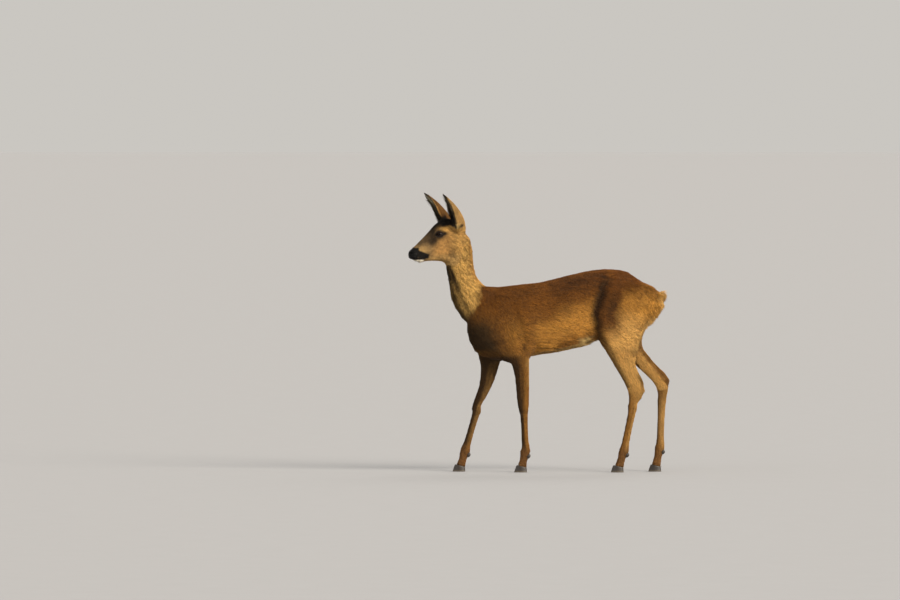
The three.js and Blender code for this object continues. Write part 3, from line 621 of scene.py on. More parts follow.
def ear_places(points, normals):
    """For a point on an ear: its share of the length, how far towards the other ear it is in half
    widths, how far past the leaf's edge in cup depths, how much (0 to 1) it is inside, and whether
    it is on an ear. Inside is half of how much the surface faces the opening plus how far it is
    within the leaf's half ellipse, and is kept off the back of the ear's foot."""
    best = None                   # the later ear's values win where a point is on both
    for ear in EARS.values():
        root, axis, length, front, side = ear_axes(ear)
        offset = points - root
        share = offset @ axis / length
        half, cup, wrap, lift = ear_form(ear, share)
        across = offset @ side / half * np.sign(side[1] * ear["root"][1])
        toward = (offset @ front + lift) / np.maximum(cup, 1e-4)
        near = (share > 0.9) | (np.hypot(across, toward.clip(None, 0)) < 1.28)
        on = (share > 0.05) & (share < 1.1) & (np.abs(across) < 1.3) & (toward < 0.8) & near
        on &= (toward < 0) | (share > 0.17)
        within = (30 * (0.986 - np.hypot(across, toward))).clip(-0.3, 0.3)
        inside = rise(0.0, 0.12, 0.5 * (normals @ front) + within) * rise(0.12, 0.2, share)
        inside = inside * rise(-0.75, -0.45, toward + 1.2 * rise(0.16, 0.42, share))
        values = np.stack([share, across, toward + np.cos(wrap), inside * on, on.astype(float)])
        best = values if best is None else np.where(on[None], values, best)
    return best[0], best[1], best[2], best[3], best[4] > 0.5


def behind(x, z, line):
    """How many mm a place is behind a line of points in the side view that runs upwards."""
    return -from_line(x, z, line)[0]


def markings(points, normals):
    """The doe's colours, laid one over the other by soft masks with ragged edges. Some of the layers are
    painted shade and painted light.
    """
    x, y, z = points.T / MM
    x = x + 9 * patches(points, 0.03, 1) + 4 * patches(points, 0.008, 2)
    z = z + 7 * patches(points, 0.024, 3)
    back = np.interp(x, OUTLINE["x"], OUTLINE["back"])
    belly = np.interp(x, OUTLINE["x"], OUTLINE["belly"])
    height = (z - belly) / (back - belly)
    coat = np.tile(PELT["flank"], (len(points), 1))

    def lay(name, mask):
        """Lays one of the doe's colours over the coat where the mask is above 0."""
        coat[:] = coat + np.clip(mask, 0, 1)[:, None] * (PELT[name] - coat)

    # Painted shade: the shoulder and the forequarter darker in front, where they face away from the lamp.
    front = rise(110, 20, x + 75 * rise(560, 500, z))
    lay("shoulder", front * rise(-0.3, 0.1, height) * 0.85)
    lay("flank", spot(x + 76, z - 478, 34, 1.1, 1.5) * 0.55)
    lay("saddle and shade", rise(0.38, 0.75, height))
    # Darker along the back: partly the coat's own darker back, partly painted shade on the top.
    lay("back", rise(0.66, 0.92, height) * (0.45 + 0.55 * rise(0, 90, x)))
    # Painted shade: the lower flank darkened towards the belly, in the saddle brown.
    low = rise(0.3, 0.05, height) * rise(40, 90, x) * rise(230, 200, x)
    lay("saddle and shade", low * 0.85)
    # The paler belly underneath; its colour is also darkened as painted shade.
    lay("belly", rise(-0.75, -0.97, normals[:, 2]) * rise(540, 470, z))
    haunch = rise(210, 262, x) * (z > 300)
    lay("haunch", haunch)
    lay("ham and lit side", haunch * rise(600, 500, z + 0.3 * (x - 300)))
    lay("back", spot(x + 178, z - 610, 15, tall=1.8) * 0.6)
    # Painted highlight: the back's top edge over the middle of the body lighter, in the shoulder's brown, as
    # a rim of light.
    lay("shoulder", rise(0.94, 1.0, height) * rise(90, 130, x) * (x < 235) * 0.5)
    lay("loin", hill(x - 228, 40) * rise(0.6, 0.9, height))
    lay("croup and shade", haunch * rise(596, 672, z + 0.12 * (x - 300)) * (1 - 0.2 * rise(340, 380, x)))
    lay("croup and shade", haunch * spot(x - 300, z - 590, 40, 1.2) * 0.3)
    fold = behind(x, z, [[212, 440], [195, 552], [205, 604], [236, 688]])
    thigh = rise(450, 530, z) * rise(700, 650, z)
    # Painted shade just behind the fold between flank and thigh, in the croup brown.
    lay("croup and shade", rise(0, 8, fold) * rise(100, 62, fold) * thigh * 0.95)
    # Painted shade in the fold between flank and thigh: a band along its line and a patch behind it.
    lay("crease shade", rise(-26, 0, fold) * rise(34, 4, fold) * thigh * 0.75)
    lay("crease shade", spot(fold - 52, z - 580, 20, 1.2, 2.4) * thigh * 0.55)
    pale = behind(x, z, [[300, 400], [336, 462], [354, 487], [372, 516], [389, 536], [424, 571], [470, 600]])
    pale = rise(-5, 8, pale) * (x > 290) * rise(614, 590, z)
    lay("rump", pale)
    tail_end = rise(0.35, 0.8, normals[:, 0]) * (x > 370) * rise(480, 520, z)
    lay("rump", tail_end * rise(630, 600, z))
    lay("groin", spot(x - 162, z - 462, 11, 1.2) * 1.1)
    lay("groin", rise(-0.6, -0.95, normals[:, 2]) * hill(x - 190, 50) * (z > 420) * 0.7)
    # Painted shade in the notch by the hip bone and in the fold at the left elbow.
    lay("crease shade", spot(x - 226, z - 684, 5, 2.2) * 0.7)
    lay("crease shade", spot(x + 48, z - 443, 7, tall=1.3) * (y < 0) * 0.8)
    lay("tail", far_from(points, TAIL) < 0.024)

    # the neck and the breast
    neck = -behind(x, z, [[-262, 500], [-251, 526], [-207, 592], [-206, 640], [-190, 690]])
    neck = rise(-8, 12, neck) * (x < -150) * rise(490, 520, z)
    lay("neck", neck)
    lay("nape", neck * rise(0.45, 0.9, normals[:, 0]) * (z < 860))
    # Painted shade: the front of the neck, which faces away from the lamp, darkened, and a dark line along
    # the fold at the neck's lower front edge.
    front = neck * rise(-0.36, -0.8, normals[:, 0]) * rise(775, 730, z)
    lay("throat shade", front * (1 - 0.2 * rise(690, 640, z)))
    lay("throat shade", neck * hill(from_line(x, z, [[-304, 612], [-250, 526]])[0], 5) * 0.4)
    # The breast between the forelegs darkened: mostly painted shade, partly its own darker hair.
    low = rise(580, 500, z) * rise(385, 425, z)
    lay("chest shade", rise(-95, -190, x + 0.5 * (z - 470)) * low)

    # the legs
    lower = rise(440, 390, z)
    lay("leg", lower)
    inward = rise(-0.1, 0.6, -normals[:, 1] * np.sign(y))
    lay("inner leg", inward * rise(500, 440, z) * rise(60, 140, z) * 0.8)
    # Painted light: the hind legs' lower backs, which face the lamp, in the pale ham colour; their outer
    # sides are lighter in it too.
    lay("ham and lit side", lower * (x > 150) * rise(-0.2, 0.4, normals[:, 0]) * 0.6)
    hind = (x > 150) * rise(220, 330, z)
    lay("ham and lit side", lower * hind * (normals[:, 1] * y > 0) * 0.9)
    # Painted shade on the inner sides of the hind legs, in the saddle brown.
    lay("saddle and shade", inward * hind * rise(480, 430, z) * 0.6)
    # Painted shade: the fronts of the legs, the fronts of the gaskins, the back of the left hock and the
    # rear of the right forearm, darkened.
    fore = (x < 100) * rise(430, 400, z)
    lay("leg shade", fore * rise(0.5, -0.3, normals[:, 0]) * 0.95)
    ahead = rise(-0.45, -0.8, normals[:, 0])
    lay("leg shade", lower * ahead * rise(300, 250, z) * 0.6)
    shin = (x > 200) * (normals[:, 1] * y > 0) * rise(-0.1, -0.6, normals[:, 0]) * (z > 300)
    lay("leg shade", shin * rise(530, 470, z) * 0.7)
    hock = (x > 300) * (y < 0) * rise(0.2, 0.6, normals[:, 0]) * hill(z - 325, 32)
    lay("leg shade", hock * 0.6)
    upper = (z > 300) * rise(425, 390, z)
    lay("leg shade", upper * (y > 0) * (x < -100) * rise(-172, -154, x) * 0.7)
    # Painted light: the back half of the left forearm, on the lamp's side, lighter.
    lay("ham and lit side", upper * (y < 0) * (x < 100) * rise(-52, -38, x) * 0.5)
    # Painted light and shade on the right hind leg: lighter on one side of a line down it, darker on the
    # other.
    high = from_line(x, z, [[352, 447], [372, 410], [400, 370], [436, 325]])[0] * (y > 0) * (z > 290)
    lay("ham and lit side", lower * rise(1, -8, high) * (high < 0) * (high > -40) * 0.8)
    lay("saddle and shade", lower * rise(4, 12, high) * (high < 40) * 0.5)
    lay("pastern", rise(110, 60, z) * 0.9)

    # the head
    f, o, up = head_frame(points).T / MM
    o = np.abs(o)
    ragged = 4 * patches(points, 0.014, 4)
    f, up = f + ragged, up + 0.6 * ragged
    head = rise(-42, -20, f + 0.35 * (up - 800)) * (up > 725)
    lay("cheek", head)
    lay("neck", head * rise(40, -10, f) * 0.6)
    lay("jaw", head * rise(775, 750, up) * 0.7)
    # The nose bridge and forehead darker along the profile: partly their own darker hair, partly painted
    # shade on the face's front.
    top = from_line(f, up, [[160, 790], [136, 797], [100, 826], [60, 868], [20, 893], [-20, 900]])[0]
    wide = 24 + 22 * rise(104, 80, f)
    bridge_and_shade = rise(wide, wide - 18, np.abs(top)) * rise(37, 27, o + 0.2 * (60 - f).clip(0, 60))
    bridge_and_shade = bridge_and_shade * rise(146, 126, f) * (1 - 0.4 * rise(78, 100, f))
    lay("muzzle", head * rise(52, 96, f + 0.35 * (up - 800)) * 0.85)
    lay("bridge_and_shade", head * bridge_and_shade)
    lay("gland", head * spot(f - 80, up - 815, 11, 1.5, 1.6))
    lay("gland", head * spot(f - 62, up - 832, 19) * 0.6)
    for sign in (1, -1):
        forward, high, outward = on_eye(points, sign)
        gap = outside_almond(forward, high) + 0.25 * np.minimum(forward, 0)
        lay("gland", head * rise(13, 3, gap) * (outward > -6) * 0.7)
        lay("black", head * rise(6.4, 3.2, gap) * (outward > 0))
    lay("brow", head * spot(f - 40, up - 853, 9, 2.0) * rise(14, 22, o))
    low = up - 0.6 * ragged              # the lips' line is even, not ragged
    lay("chin", head * rise(106, 114, f) * rise(747, 744, low))
    lay("black", head * rise(100, 110, f) * rise(744.5, 747, low) * (low < 752))
    lay("jaw", head * spot(f - 116, up - 781, 11, 2.2) * rise(4, 12, o))
    lay("gland", head * spot(f - 14, up - 768, 16) * 0.55)
    band = rise(91, 98, f) * rise(750, 752, up) * rise(766, 761, up - 0.36 * (f - 92))
    lay("black", head * band)
    nose = rise(128, 133, f + 0.1 * (up - 770)) * rise(747, 749, up) * rise(789, 784, up)
    lay("black", head * nose)

    # the ears, and the near-black crown between them, which is partly painted shade
    share, across, edge, inside, on = ear_places(points, normals)
    rough = 0.10 * patches(points, 0.01, 5)
    lay("ear back", on * rise(0.05, 0.12, share))
    lay("nape", on * rise(0.45, 0.1, share) * hill(across, 0.5) * 0.4)
    lay("ear inside", inside)
    # Painted shade inside the ears: darker towards both edges of the hollow and down near its base.
    dark = rise(-0.1, 0.5, across) + rise(-0.55, -0.8, across) + hill(share - 0.2, 0.12)
    lay("ear inside shade", inside * dark * (1.15 - 0.4 * share))
    # Painted shade: the inner half of each ear's back, in the saddle brown.
    lay("saddle and shade", on * (1 - inside) * rise(-0.1, 0.6, across) * (share > 0.1) * 0.85)
    rim = on * rise(-0.22, -0.08, edge + 0.5 * rough) * rise(0.25, 0.45, share) * (1 - inside)
    lay("ear rim", rim * (across < -0.75) * 0.85)
    lay("brow", rim * rise(0.75, 0.9, across) * rise(0.8, 0.65, share))
    lay("ear rim", on * rise(0.86, 0.97, share + rough))
    # The crown between the ears near black: partly its own dark hair, partly painted shade.
    cap = rise(862, 870, up + 0.12 * f) * rise(66, 44, f) * rise(-26, -18, f)
    off_cap = np.maximum(rise(0.24, 0.36, share), rise(-0.5, -0.9, edge))
    lay("crown and shade", head * cap * (1 - on * off_cap) * rise(47, 39, o))
    tuft = on * hill(share - 0.22, 0.06) * rise(-0.75, -0.92, across) * rise(-0.6, -0.25, edge)
    lay("groin", tuft * 0.8)
    shade = 1 + 0.09 * patches(points, 0.06, 6) + 0.06 * patches(points, 0.014, 7)
    shade += head * (0.20 * patches(points, 0.006, 8) + 0.12 * patches(points, 0.013, 9))
    return coat * shade[:, None]


def along_skin(way, normals):
    """The part of each direction that runs along the surface, with length one."""
    return unit(way - normals * np.sum(way * normals, 1, keepdims=True))


def lie(points, normals):
    """The way the hair lies, along the skin: back from the nose, down the neck and the shoulders,
    back and down over the flanks and haunches, down the legs, and out along the ears."""
    x, y, z = points.T / MM
    f = head_frame(points)[:, 0] / MM
    way = np.tile([1.0, 0, -0.30], (len(points), 1))

    def lean(share, direction):
        return way + share[:, None] * (np.asarray(direction) - way)

    way = lean(rise(640, 690, z) * 0.8, (1, 0, -0.05))
    way = lean(rise(-20, -140, x) * rise(650, 600, z), (0.55, 0, -0.85))
    way = lean(rise(200, 300, x) * rise(690, 620, z), (0.75, 0, -0.7))
    way = lean(rise(330, 410, x) * rise(640, 560, z), (0.12, 0, -1))
    way = lean(rise(-0.3, -0.8, normals[:, 2]) * (z > 400) * (z < 560), (1, 0, 0))
    way = lean(rise(-170, -215, x) * rise(520, 600, z), (0.42, 0, -0.92))
    slope = np.where(x < 100, np.where(y < 0, -0.04, -0.28),
                     np.where(y < 0, np.where(z > 280, 0.35, -0.2), np.where(z > 300, 0.75, -0.05)))
    down = np.stack([slope, 0 * x, -np.ones(len(x))], 1)
    way = way + rise(450, 380, z)[:, None] * (down - way)
    backwards = np.array([math.cos(HEAD_YAW), math.sin(HEAD_YAW), 0])
    steep = np.where(f > 40, 0.25, -0.35)[:, None] * [0, 0, 1.0]
    on_head = rise(-45, -10, f + 0.5 * (z - 800)) * (z > 728)
    way = way + on_head[:, None] * (backwards + steep - way)
    for ear in EARS.values():
        root, axis, length, _, _ = ear_axes(ear)
        offset = points - root
        share = offset @ axis / length
        gap = np.linalg.norm(offset - (share * length)[:, None] * axis, axis=1)
        on = rise(0.02, 0.12, share) * rise(0.040, 0.034, gap)
        way = way + on[:, None] * (axis * 1.5 - way)
    tail = rise(0.030, 0.022, far_from(points, TAIL))
    way = way + tail[:, None] * (np.array([0.7, 0, -0.7]) - way)
    return along_skin(way, normals)


def locks(points, way, seed):
    """Where hairs lie together in locks: long patches along the lie, between -1 and 1. Patches 38 mm
    long and 6 mm wide are worked out along three slopes in the side view, level, slanting and
    upright, and each counts by how near the lie is to its slope."""
    steep = np.degrees(np.arctan2(np.abs(way[:, 2]), np.hypot(way[:, 0], way[:, 1])))
    total, weight = np.zeros(len(points)), np.zeros(len(points))
    for slope in (8, 24, 42, 62, 84):
        a = math.radians(slope)
        along = points[:, 0] * math.cos(a) - points[:, 2] * math.sin(a)
        across = points[:, 0] * math.sin(a) + points[:, 2] * math.cos(a)
        place = np.stack([along / 6.3, across, points[:, 1] / 1.3], 1)
        share = hill(steep - slope, 11) + 1e-4
        total += share * patches(place, 0.006, seed + slope)
        weight += share
    return total / weight


def add_colour(mesh, name, values):
    """Keeps a linear colour for every corner of a mesh."""
    layer = mesh.attributes.new(name, "FLOAT_COLOR", "POINT")
    rgba = np.concatenate([values, np.ones((len(values), 1))], 1)
    layer.data.foreach_set("color", rgba.astype(np.float32).ravel())


def add_upright(mesh, way, copies=1):
    """Keeps how upright (0 to 1) the hair lies, for so many corners for each direction given."""
    steep = np.repeat(rise(0.35, 0.75, np.abs(way[:, 2])), copies)
    layer = mesh.attributes.new("upright", "FLOAT", "POINT")
    layer.data.foreach_set("value", steep.astype(np.float32))


points = corners(skin.data)
normals = corner_normals(skin.data)
UNDERCOAT = 0.62                  # how bright the undercoat is beside the guard hairs
add_colour(skin.data, "marks", markings(points, normals).clip(0, 1) * UNDERCOAT)
add_upright(skin.data, lie(points, normals))


def node(tree, kind, settings=None, inputs=None, links=None):
    """Adds a shader node with its settings, its input values, and links {input: socket}."""
    made = tree.nodes.new("ShaderNode" + kind)
    for key, value in (settings or {}).items():
        setattr(made, key, value)
    for key, value in (inputs or {}).items():
        made.inputs[key].default_value = value
    for key, socket in (links or {}).items():
        tree.links.new(socket, made.inputs[key])
    return made


def feed(tree, shader, **sockets):
    """Links sockets into the shader's inputs, named with _ for a space."""
    for key, socket in sockets.items():
        tree.links.new(socket, shader.inputs[key.replace("_", " ")])


def material_named(name, **settings):
    """A new material, its node tree, its shader with the shader's own values set, and the place on
    the object in metres."""
    material = bpy.data.materials.new(name)
    material.use_nodes = True
    tree = material.node_tree
    shader = next(n for n in tree.nodes if n.type == "BSDF_PRINCIPLED")
    for key, value in settings.items():
        shader.inputs[key.replace("_", " ")].default_value = value
    return material, tree, shader, node(tree, "TexCoord").outputs["Object"]


# Deer hair is coarse, hollow and brittle, with a dull satin: rough, a faint sheen, and strands
# about 0.15 mm across, drawn here as streaks 0.7 mm apart so that they show.
def hair_material(name, depth, height):
    """Hair over the markings: streaks of noise stretched along the lie, level or upright as the
    lie goes, darken between the strands and raise them."""
    material, tree, shader, where = material_named(
        name, Roughness=0.68, IOR=1.5, Specular_IOR_Level=0.14, Sheen_Weight=0.05,
        Sheen_Roughness=0.45, Sheen_Tint=(1.0, 0.82, 0.60, 1.0))
    turn, apart = math.radians(17), 0.0007
    level = node(tree, "Mapping", {"vector_type": "TEXTURE"},
                 {"Scale": (0.014, apart, apart), "Rotation": (0, turn, 0)}, {"Vector": where})
    down = node(tree, "Mapping", {"vector_type": "TEXTURE"},
                {"Scale": (apart, apart, 0.012)}, {"Vector": where})
    streaks = [node(tree, "TexNoise", None, {"Scale": 1.0, "Detail": 2.0},
                    {"Vector": way.outputs["Vector"]}).outputs["Fac"] for way in (level, down)]
    leaning = node(tree, "Attribute", {"attribute_name": "upright"}).outputs["Fac"]
    strand = node(tree, "Mix", {"data_type": "FLOAT"}, None,
                  {0: leaning, 2: streaks[0], 3: streaks[1]}).outputs[0]
    shade = node(tree, "MapRange", None, {"From Min": 0.3, "From Max": 0.7,
                 "To Min": 1 - depth, "To Max": 1 + 0.5 * depth}, {"Value": strand})
    marks = node(tree, "Attribute", {"attribute_name": "marks"}).outputs["Color"]
    colour = node(tree, "VectorMath", {"operation": "SCALE"}, None,
                  {0: marks, "Scale": shade.outputs["Result"]})
    raised = node(tree, "Bump", None, {"Strength": 0.7, "Distance": height},
                  {"Height": strand})
    feed(tree, shader, Base_Color=colour.outputs[0], Normal=raised.outputs["Normal"])
    return material


skin.data.materials.append(hair_material("Deer_hide_with_undercoat", 0.35, 0.0006))
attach(skin, "root")

# ---- The coat ----
# Guard hairs lie in small flat tufts over the undercoat, root first, from the nose backwards. A
# tuft is a thin leaf of six triangles: a root, two sides, a ridge and a tip.
COAT_SEED = 20
TUFT_PATCH = 0.003               # a tuft's size on the hide's flat map
LEAF = {"middle": 0.42, "middle lift": 0.62, "sunk": 0.5, "ridge": 0.28}     # sunk is in mm


def tuft_sizes(points, normals):
    """Length, width, lift of the tip (mm), waviness (0 to 1) and how many times the tufts cover the
    skin, at each place."""
    x, _, z = points.T / MM
    f, o, up = head_frame(points).T / MM
    o = np.abs(o)
    one = np.ones(len(points))
    length, width, lift, wave, cover = 15 * one, 1.7 * one, 2.6 * one, 0.35 * one, 2.5 * one

    def set_to(share, *values):
        for array, value in zip((length, width, lift, wave, cover), values):
            array += share * (value - array)

    set_to(rise(620, 690, z) * (x > -200), 16, 1.8, 2.8, 0.5, 2.5)
    set_to(rise(260, 320, x) * rise(0.3, 0.8, normals[:, 2]), 18, 1.9, 5.5, 0.6, 2.4)
    set_to(rise(-190, -230, x) * rise(540, 620, z), 17, 2.0, 4.0, 1.0, 2.4)
    set_to(rise(360, 430, x) * rise(470, 540, z), 21, 2.0, 4.5, 0.8, 2.4)
    set_to(rise(-0.4, -0.8, normals[:, 2]) * (z > 380) * (z < 560), 17, 1.9, 3.6, 0.8, 2.2)
    set_to(spot(x - 166, z - 458, 36), 24, 1.9, 6.0, 1.0, 2.4)
    set_to(rise(440, 380, z), 11, 1.35, 1.7, 0.25, 2.4)
    set_to(rise(300, 220, z), 8, 1.15, 1.1, 0.15, 2.3)
    set_to(rise(95, 60, z), 9, 1.2, 1.7, 0.3, 2.4)
    head = rise(-50, -15, f + 0.35 * (up - 800)) * (up > 725)
    set_to(head, 9, 1.2, 2.0, 0.9, 2.4)
    set_to(head * rise(5, 50, f), 6.2, 0.95, 1.2, 0.3, 2.3)
    set_to(head * rise(85, 125, f), 3.8, 0.75, 0.6, 0.2, 2.2)
    set_to(head * rise(862, 885, up) * rise(70, 40, f), 9, 1.1, 2.8, 0.5, 2.6)
    eye = np.linalg.norm(np.stack([f, o, up], 1) - EYE / MM, axis=1)
    set_to(rise(30, 19, eye), 3.6, 0.7, 0.6, 0.1, 2.3)
    share, across, _, inside, on = ear_places(points, normals)
    set_to(on * 1.0, 6.5, 0.9, 1.0, 0.3, 2.4)
    set_to(inside, 12, 0.9, 3.4, 0.7, 1.5)
    set_to(inside * rise(0.7, 0.9, np.abs(across)), 14, 1.0, 4.5, 0.9, 1.6)
    set_to(on * rise(0.84, 0.97, share), 4.0, 0.8, 0.6, 0.2, 2.0)
    set_to(rise(0.034, 0.024, far_from(points, TAIL)), 19, 1.8, 4.5, 0.8, 3.0)
    return length, width, lift, wave, cover


def on_pad(points, spare=0.0):
    """True on the nose's bare pad, from the upper lip to 5 mm over the nostrils, spare mm larger."""
    f, o, up = head_frame(points).T / MM
    edge = f - 137 - 5.0 * hill(up - 752, 4) + 0.10 * np.maximum(np.abs(o) - 12, 0)
    edge += 1.6 * patches(points, 0.006, 50)
    return (edge > -spare) & (up > 750.5 - spare) & (up < 783 + 1.2 * patches(points, 0.008, 51) + spare)


def bare(points):
    """True on the nose's pad and inside the lids, where no hair grows."""
    pad = on_pad(points, 0.6)
    for sign in (1, -1):
        forward, high, out = on_eye(points, sign)
        pad |= (outside_almond(forward, high) < 1.3) & (out > 0) & (np.hypot(forward, high) < 20)
    return pad | (points[:, 2] < 0.014)


def scattered(mesh, rng):
    """Roots of tufts over a mesh: more where the tufts are small, at random within triangles.
    Gives each root's place, normal and place on the flat map."""
    mesh.calc_loop_triangles()
    verts = read(mesh.loop_triangles, "vertices", 3, np.int32)
    loops = read(mesh.loop_triangles, "loops", 3, np.int32)
    uv = read(mesh.uv_layers["OFBake"].data, "uv", 2)
    points, normals = corners(mesh), corner_normals(mesh)
    a, b, c = points[verts[:, 0]], points[verts[:, 1]], points[verts[:, 2]]
    area = np.linalg.norm(np.cross(b - a, c - a), axis=1) / 2
    middle = (a + b + c) / 3
    length, width, _, _, cover = tuft_sizes(middle, unit(normals[verts].mean(1)))
    expected = np.where(bare(middle), 0, area * cover / (0.5 * length * width * MM * MM))
    number = np.floor(expected + rng.random(len(verts))).astype(int)
    chosen = np.repeat(np.arange(len(verts)), number)
    u, v = rng.random(len(chosen)), rng.random(len(chosen))
    u, v = np.where(u + v > 1, 1 - u, u), np.where(u + v > 1, 1 - v, v)
    share = np.stack([1 - u - v, u, v], 1)[..., None]
    return ((points[verts[chosen]] * share).sum(1), unit((normals[verts[chosen]] * share).sum(1)),
            (uv[loops[chosen]] * share).sum(1))


def leaves(root, normal, way, length, width, lift):
    """Five corners for each tuft. The sides stand a little before half the length, the ridge over
    them, and the tip at the end, lifted by lift and bent back towards the skin."""
    side = np.cross(normal, way) * width[:, None] / 2
    along, high = way * length[:, None], normal * lift[:, None]
    middle = root + along * LEAF["middle"] + high * LEAF["middle lift"]
    base = root - normal * LEAF["sunk"] * MM
    ridge = middle + normal * width[:, None] * LEAF["ridge"]
    return np.stack([base, middle + side, middle - side, ridge, root + along + high], 1)


LEAF_CORNERS = 5
LEAF_FACES = np.array([[0, 2, 3], [0, 3, 1], [2, 4, 3], [4, 1, 3], [0, 1, 2], [1, 4, 2]])
LEAF_PATCH = np.array([[-0.5, 0], [0, 0.5], [0, -0.5], [0, 0], [0.5, 0]])


def leaf_mesh(name, leaf):
    """A mesh of leaves from their corners, and the corner numbers of its triangles."""
    faces = (np.arange(len(leaf))[:, None, None] * LEAF_CORNERS + LEAF_FACES).reshape(-1, 3)
    mesh = bpy.data.meshes.new(name)
    mesh.vertices.add(leaf.size // 3)
    mesh.vertices.foreach_set("co", leaf.astype(np.float32).ravel())
    mesh.loops.add(faces.size)
    mesh.loops.foreach_set("vertex_index", faces.astype(np.int32).ravel())
    mesh.polygons.add(len(faces))
    mesh.polygons.foreach_set("loop_start", np.arange(0, faces.size, 3, dtype=np.int32))
    mesh.update(calc_edges=True)
    return smooth(mesh), faces


rng = np.random.default_rng(COAT_SEED)
root, normal, flat = scattered(skin.data, rng)
length, width, lift, wave, _ = tuft_sizes(root, normal)
bend = np.stack([patches(root, 0.022, 8 + k) for k in range(3)], 1)
fine = np.stack([patches(root, 0.007, 12 + k) for k in range(3)], 1)
way = lie(root, normal) + wave[:, None] * (0.45 * bend + 0.3 * fine) + 0.10 * rng.normal(size=root.shape)
way = along_skin(way, normal)
length = length * MM * rng.uniform(0.75, 1.2, len(root))
width = width * MM * rng.uniform(0.75, 1.25, len(root))
lock = locks(root, way, 16)
lift = lift * MM * (rng.uniform(0.55, 1.1, len(root)) + (0.25 + 0.35 * wave) * lock)
leaf = leaves(root, normal, way, length, width, lift)
on_ear = ear_places(root, normal)[4]
tone = markings(root + way * (length * np.where(on_ear, 0, 0.4))[:, None], normal)
guard = rng.random(len(root))
tone = tone * (1 + 0.13 * rng.normal(size=len(root)).clip(-2, 2) - 0.25 * (guard < 0.05)
               + 0.20 * (guard > 0.95) + (0.18 + 0.24 * wave) * lock
               + 0.22 * wave * patches(root, 0.007, 31))[:, None]
# Painted shade at each tuft's root, where it lies on the hide: darker there, and lighter towards the tip.
tint = np.array([0.72, 0.95, 0.95, 1.05, 1.18])
tones = (tone[:, None, :] * tint[None, :, None]).clip(0.002, 0.95)

x, y, z = root.T
f = head_frame(root)[:, 0]
head = ((f > -0.035) & (z > 0.725)) | on_ear
out = np.where(head, -head_frame(root)[:, 1], y)
region = np.select(
    [on_ear, head, (x < -0.19) & (z > 0.53), (z < 0.43) & (x < 0.1), (z < 0.43), x < -0.02, x < 0.2],
    np.arange(7), 7) * 2 + (out > 0)
COATS = ("ear", "head", "neck", "foreleg", "hindleg", "shoulder", "flank", "haunch")
COATS = [name + side for name in COATS for side in ("_left", "_right")]
coat_hair = hair_material("Deer_guard_hair", 0.12, 0.0003)
for number, name in enumerate(COATS):
    mine = np.flatnonzero(region == number)
    mesh, faces = leaf_mesh("coat_" + name, leaf[mine])
    spots = (flat[mine][:, None, :] + TUFT_PATCH * LEAF_PATCH).clip(0.001, 0.999).reshape(-1, 2)
    flat_map = mesh.uv_layers.new(name="OFBake")
    flat_map.data.foreach_set("uv", spots[faces.ravel()].astype(np.float32).ravel())
    add_colour(mesh, "marks", tones[mine].reshape(-1, 3))
    add_upright(mesh, way[mine], LEAF_CORNERS)
    mesh.materials.append(coat_hair)
    piece = show("coat_" + name, mesh)
    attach(piece, "root")

# ---- The nose ----
# Bare black skin round the nostrils, pebbled and always a little moist. It is a thin shell on the
# hide, closed at its back.
def nose_pad(skin_mesh):
    """The skin's faces whose corners all lie on the pad, as a mesh of its own."""
    points = corners(skin_mesh)
    on = on_pad(points)
    faces = [tuple(p.vertices) for p in skin_mesh.polygons if all(on[i] for i in p.vertices)]
    used = np.unique([i for face in faces for i in face])
    number = np.full(len(points), -1)
    number[used] = np.arange(len(used))
    mesh = bpy.data.meshes.new("nose_pad")
    outward = points[used] + 0.45 * MM * corner_normals(skin_mesh)[used]
    mesh.from_pydata(outward.tolist(), [], [tuple(number[list(face)]) for face in faces])
    return mesh


def set_stops(ramp, *stops):
    """Gives a colour ramp its (position, hex code) stops."""
    for stop, (position, code) in zip(ramp.color_ramp.elements, stops):
        stop.position, stop.color = position, (*linear(code), 1)


pad = show("nose_pad", nose_pad(skin.data))
pad.data = smooth(applied(pad, ("SOLIDIFY", {"thickness": 1.4 * MM, "offset": -1.0})))
# Moist leather: near black, its pebbles 1.1 mm across with shiny tops and duller grooves.
leather, tree, shader, where = material_named(
    "Moist_nose_leather", Roughness=0.34, IOR=1.42, Specular_IOR_Level=0.10, Coat_Weight=0.08,
    Coat_Roughness=0.2)
pebbles = node(tree, "TexVoronoi", {"feature": "SMOOTH_F1"},
               {"Scale": 900.0, "Smoothness": 0.5}, {"Vector": where}).outputs["Distance"]
ramp = node(tree, "ValToRGB", None, None, {"Fac": pebbles})
set_stops(ramp, (0, "#12100e"), (0.75, "#050404"))
dull = node(tree, "MapRange", None, {"To Min": 0.26, "To Max": 0.55}, {"Value": pebbles})
sunk = node(tree, "Bump", {"invert": True}, {"Strength": 0.7, "Distance": 0.0004},
            {"Height": pebbles})
feed(tree, shader, Base_Color=ramp.outputs["Color"], Roughness=dull.outputs["Result"],
     Normal=sunk.outputs["Normal"])
pad.data.materials.append(leather)
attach(pad, "root")
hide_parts("nose")

# ---- The eyes ----
# Each eye is a wet ball, 29 mm across with a clear bulge in front: a dark brown iris round a pupil
# that is a level slot, black in daylight. It sits behind lids with a black bare edge and lashes.
PUPIL = (5.2, 3.4)               # half length and half height in mm
IRIS = 11.2


def around(count):
    """So many angles, evenly once round."""
    return np.linspace(0, 2 * math.pi, count, endpoint=False)


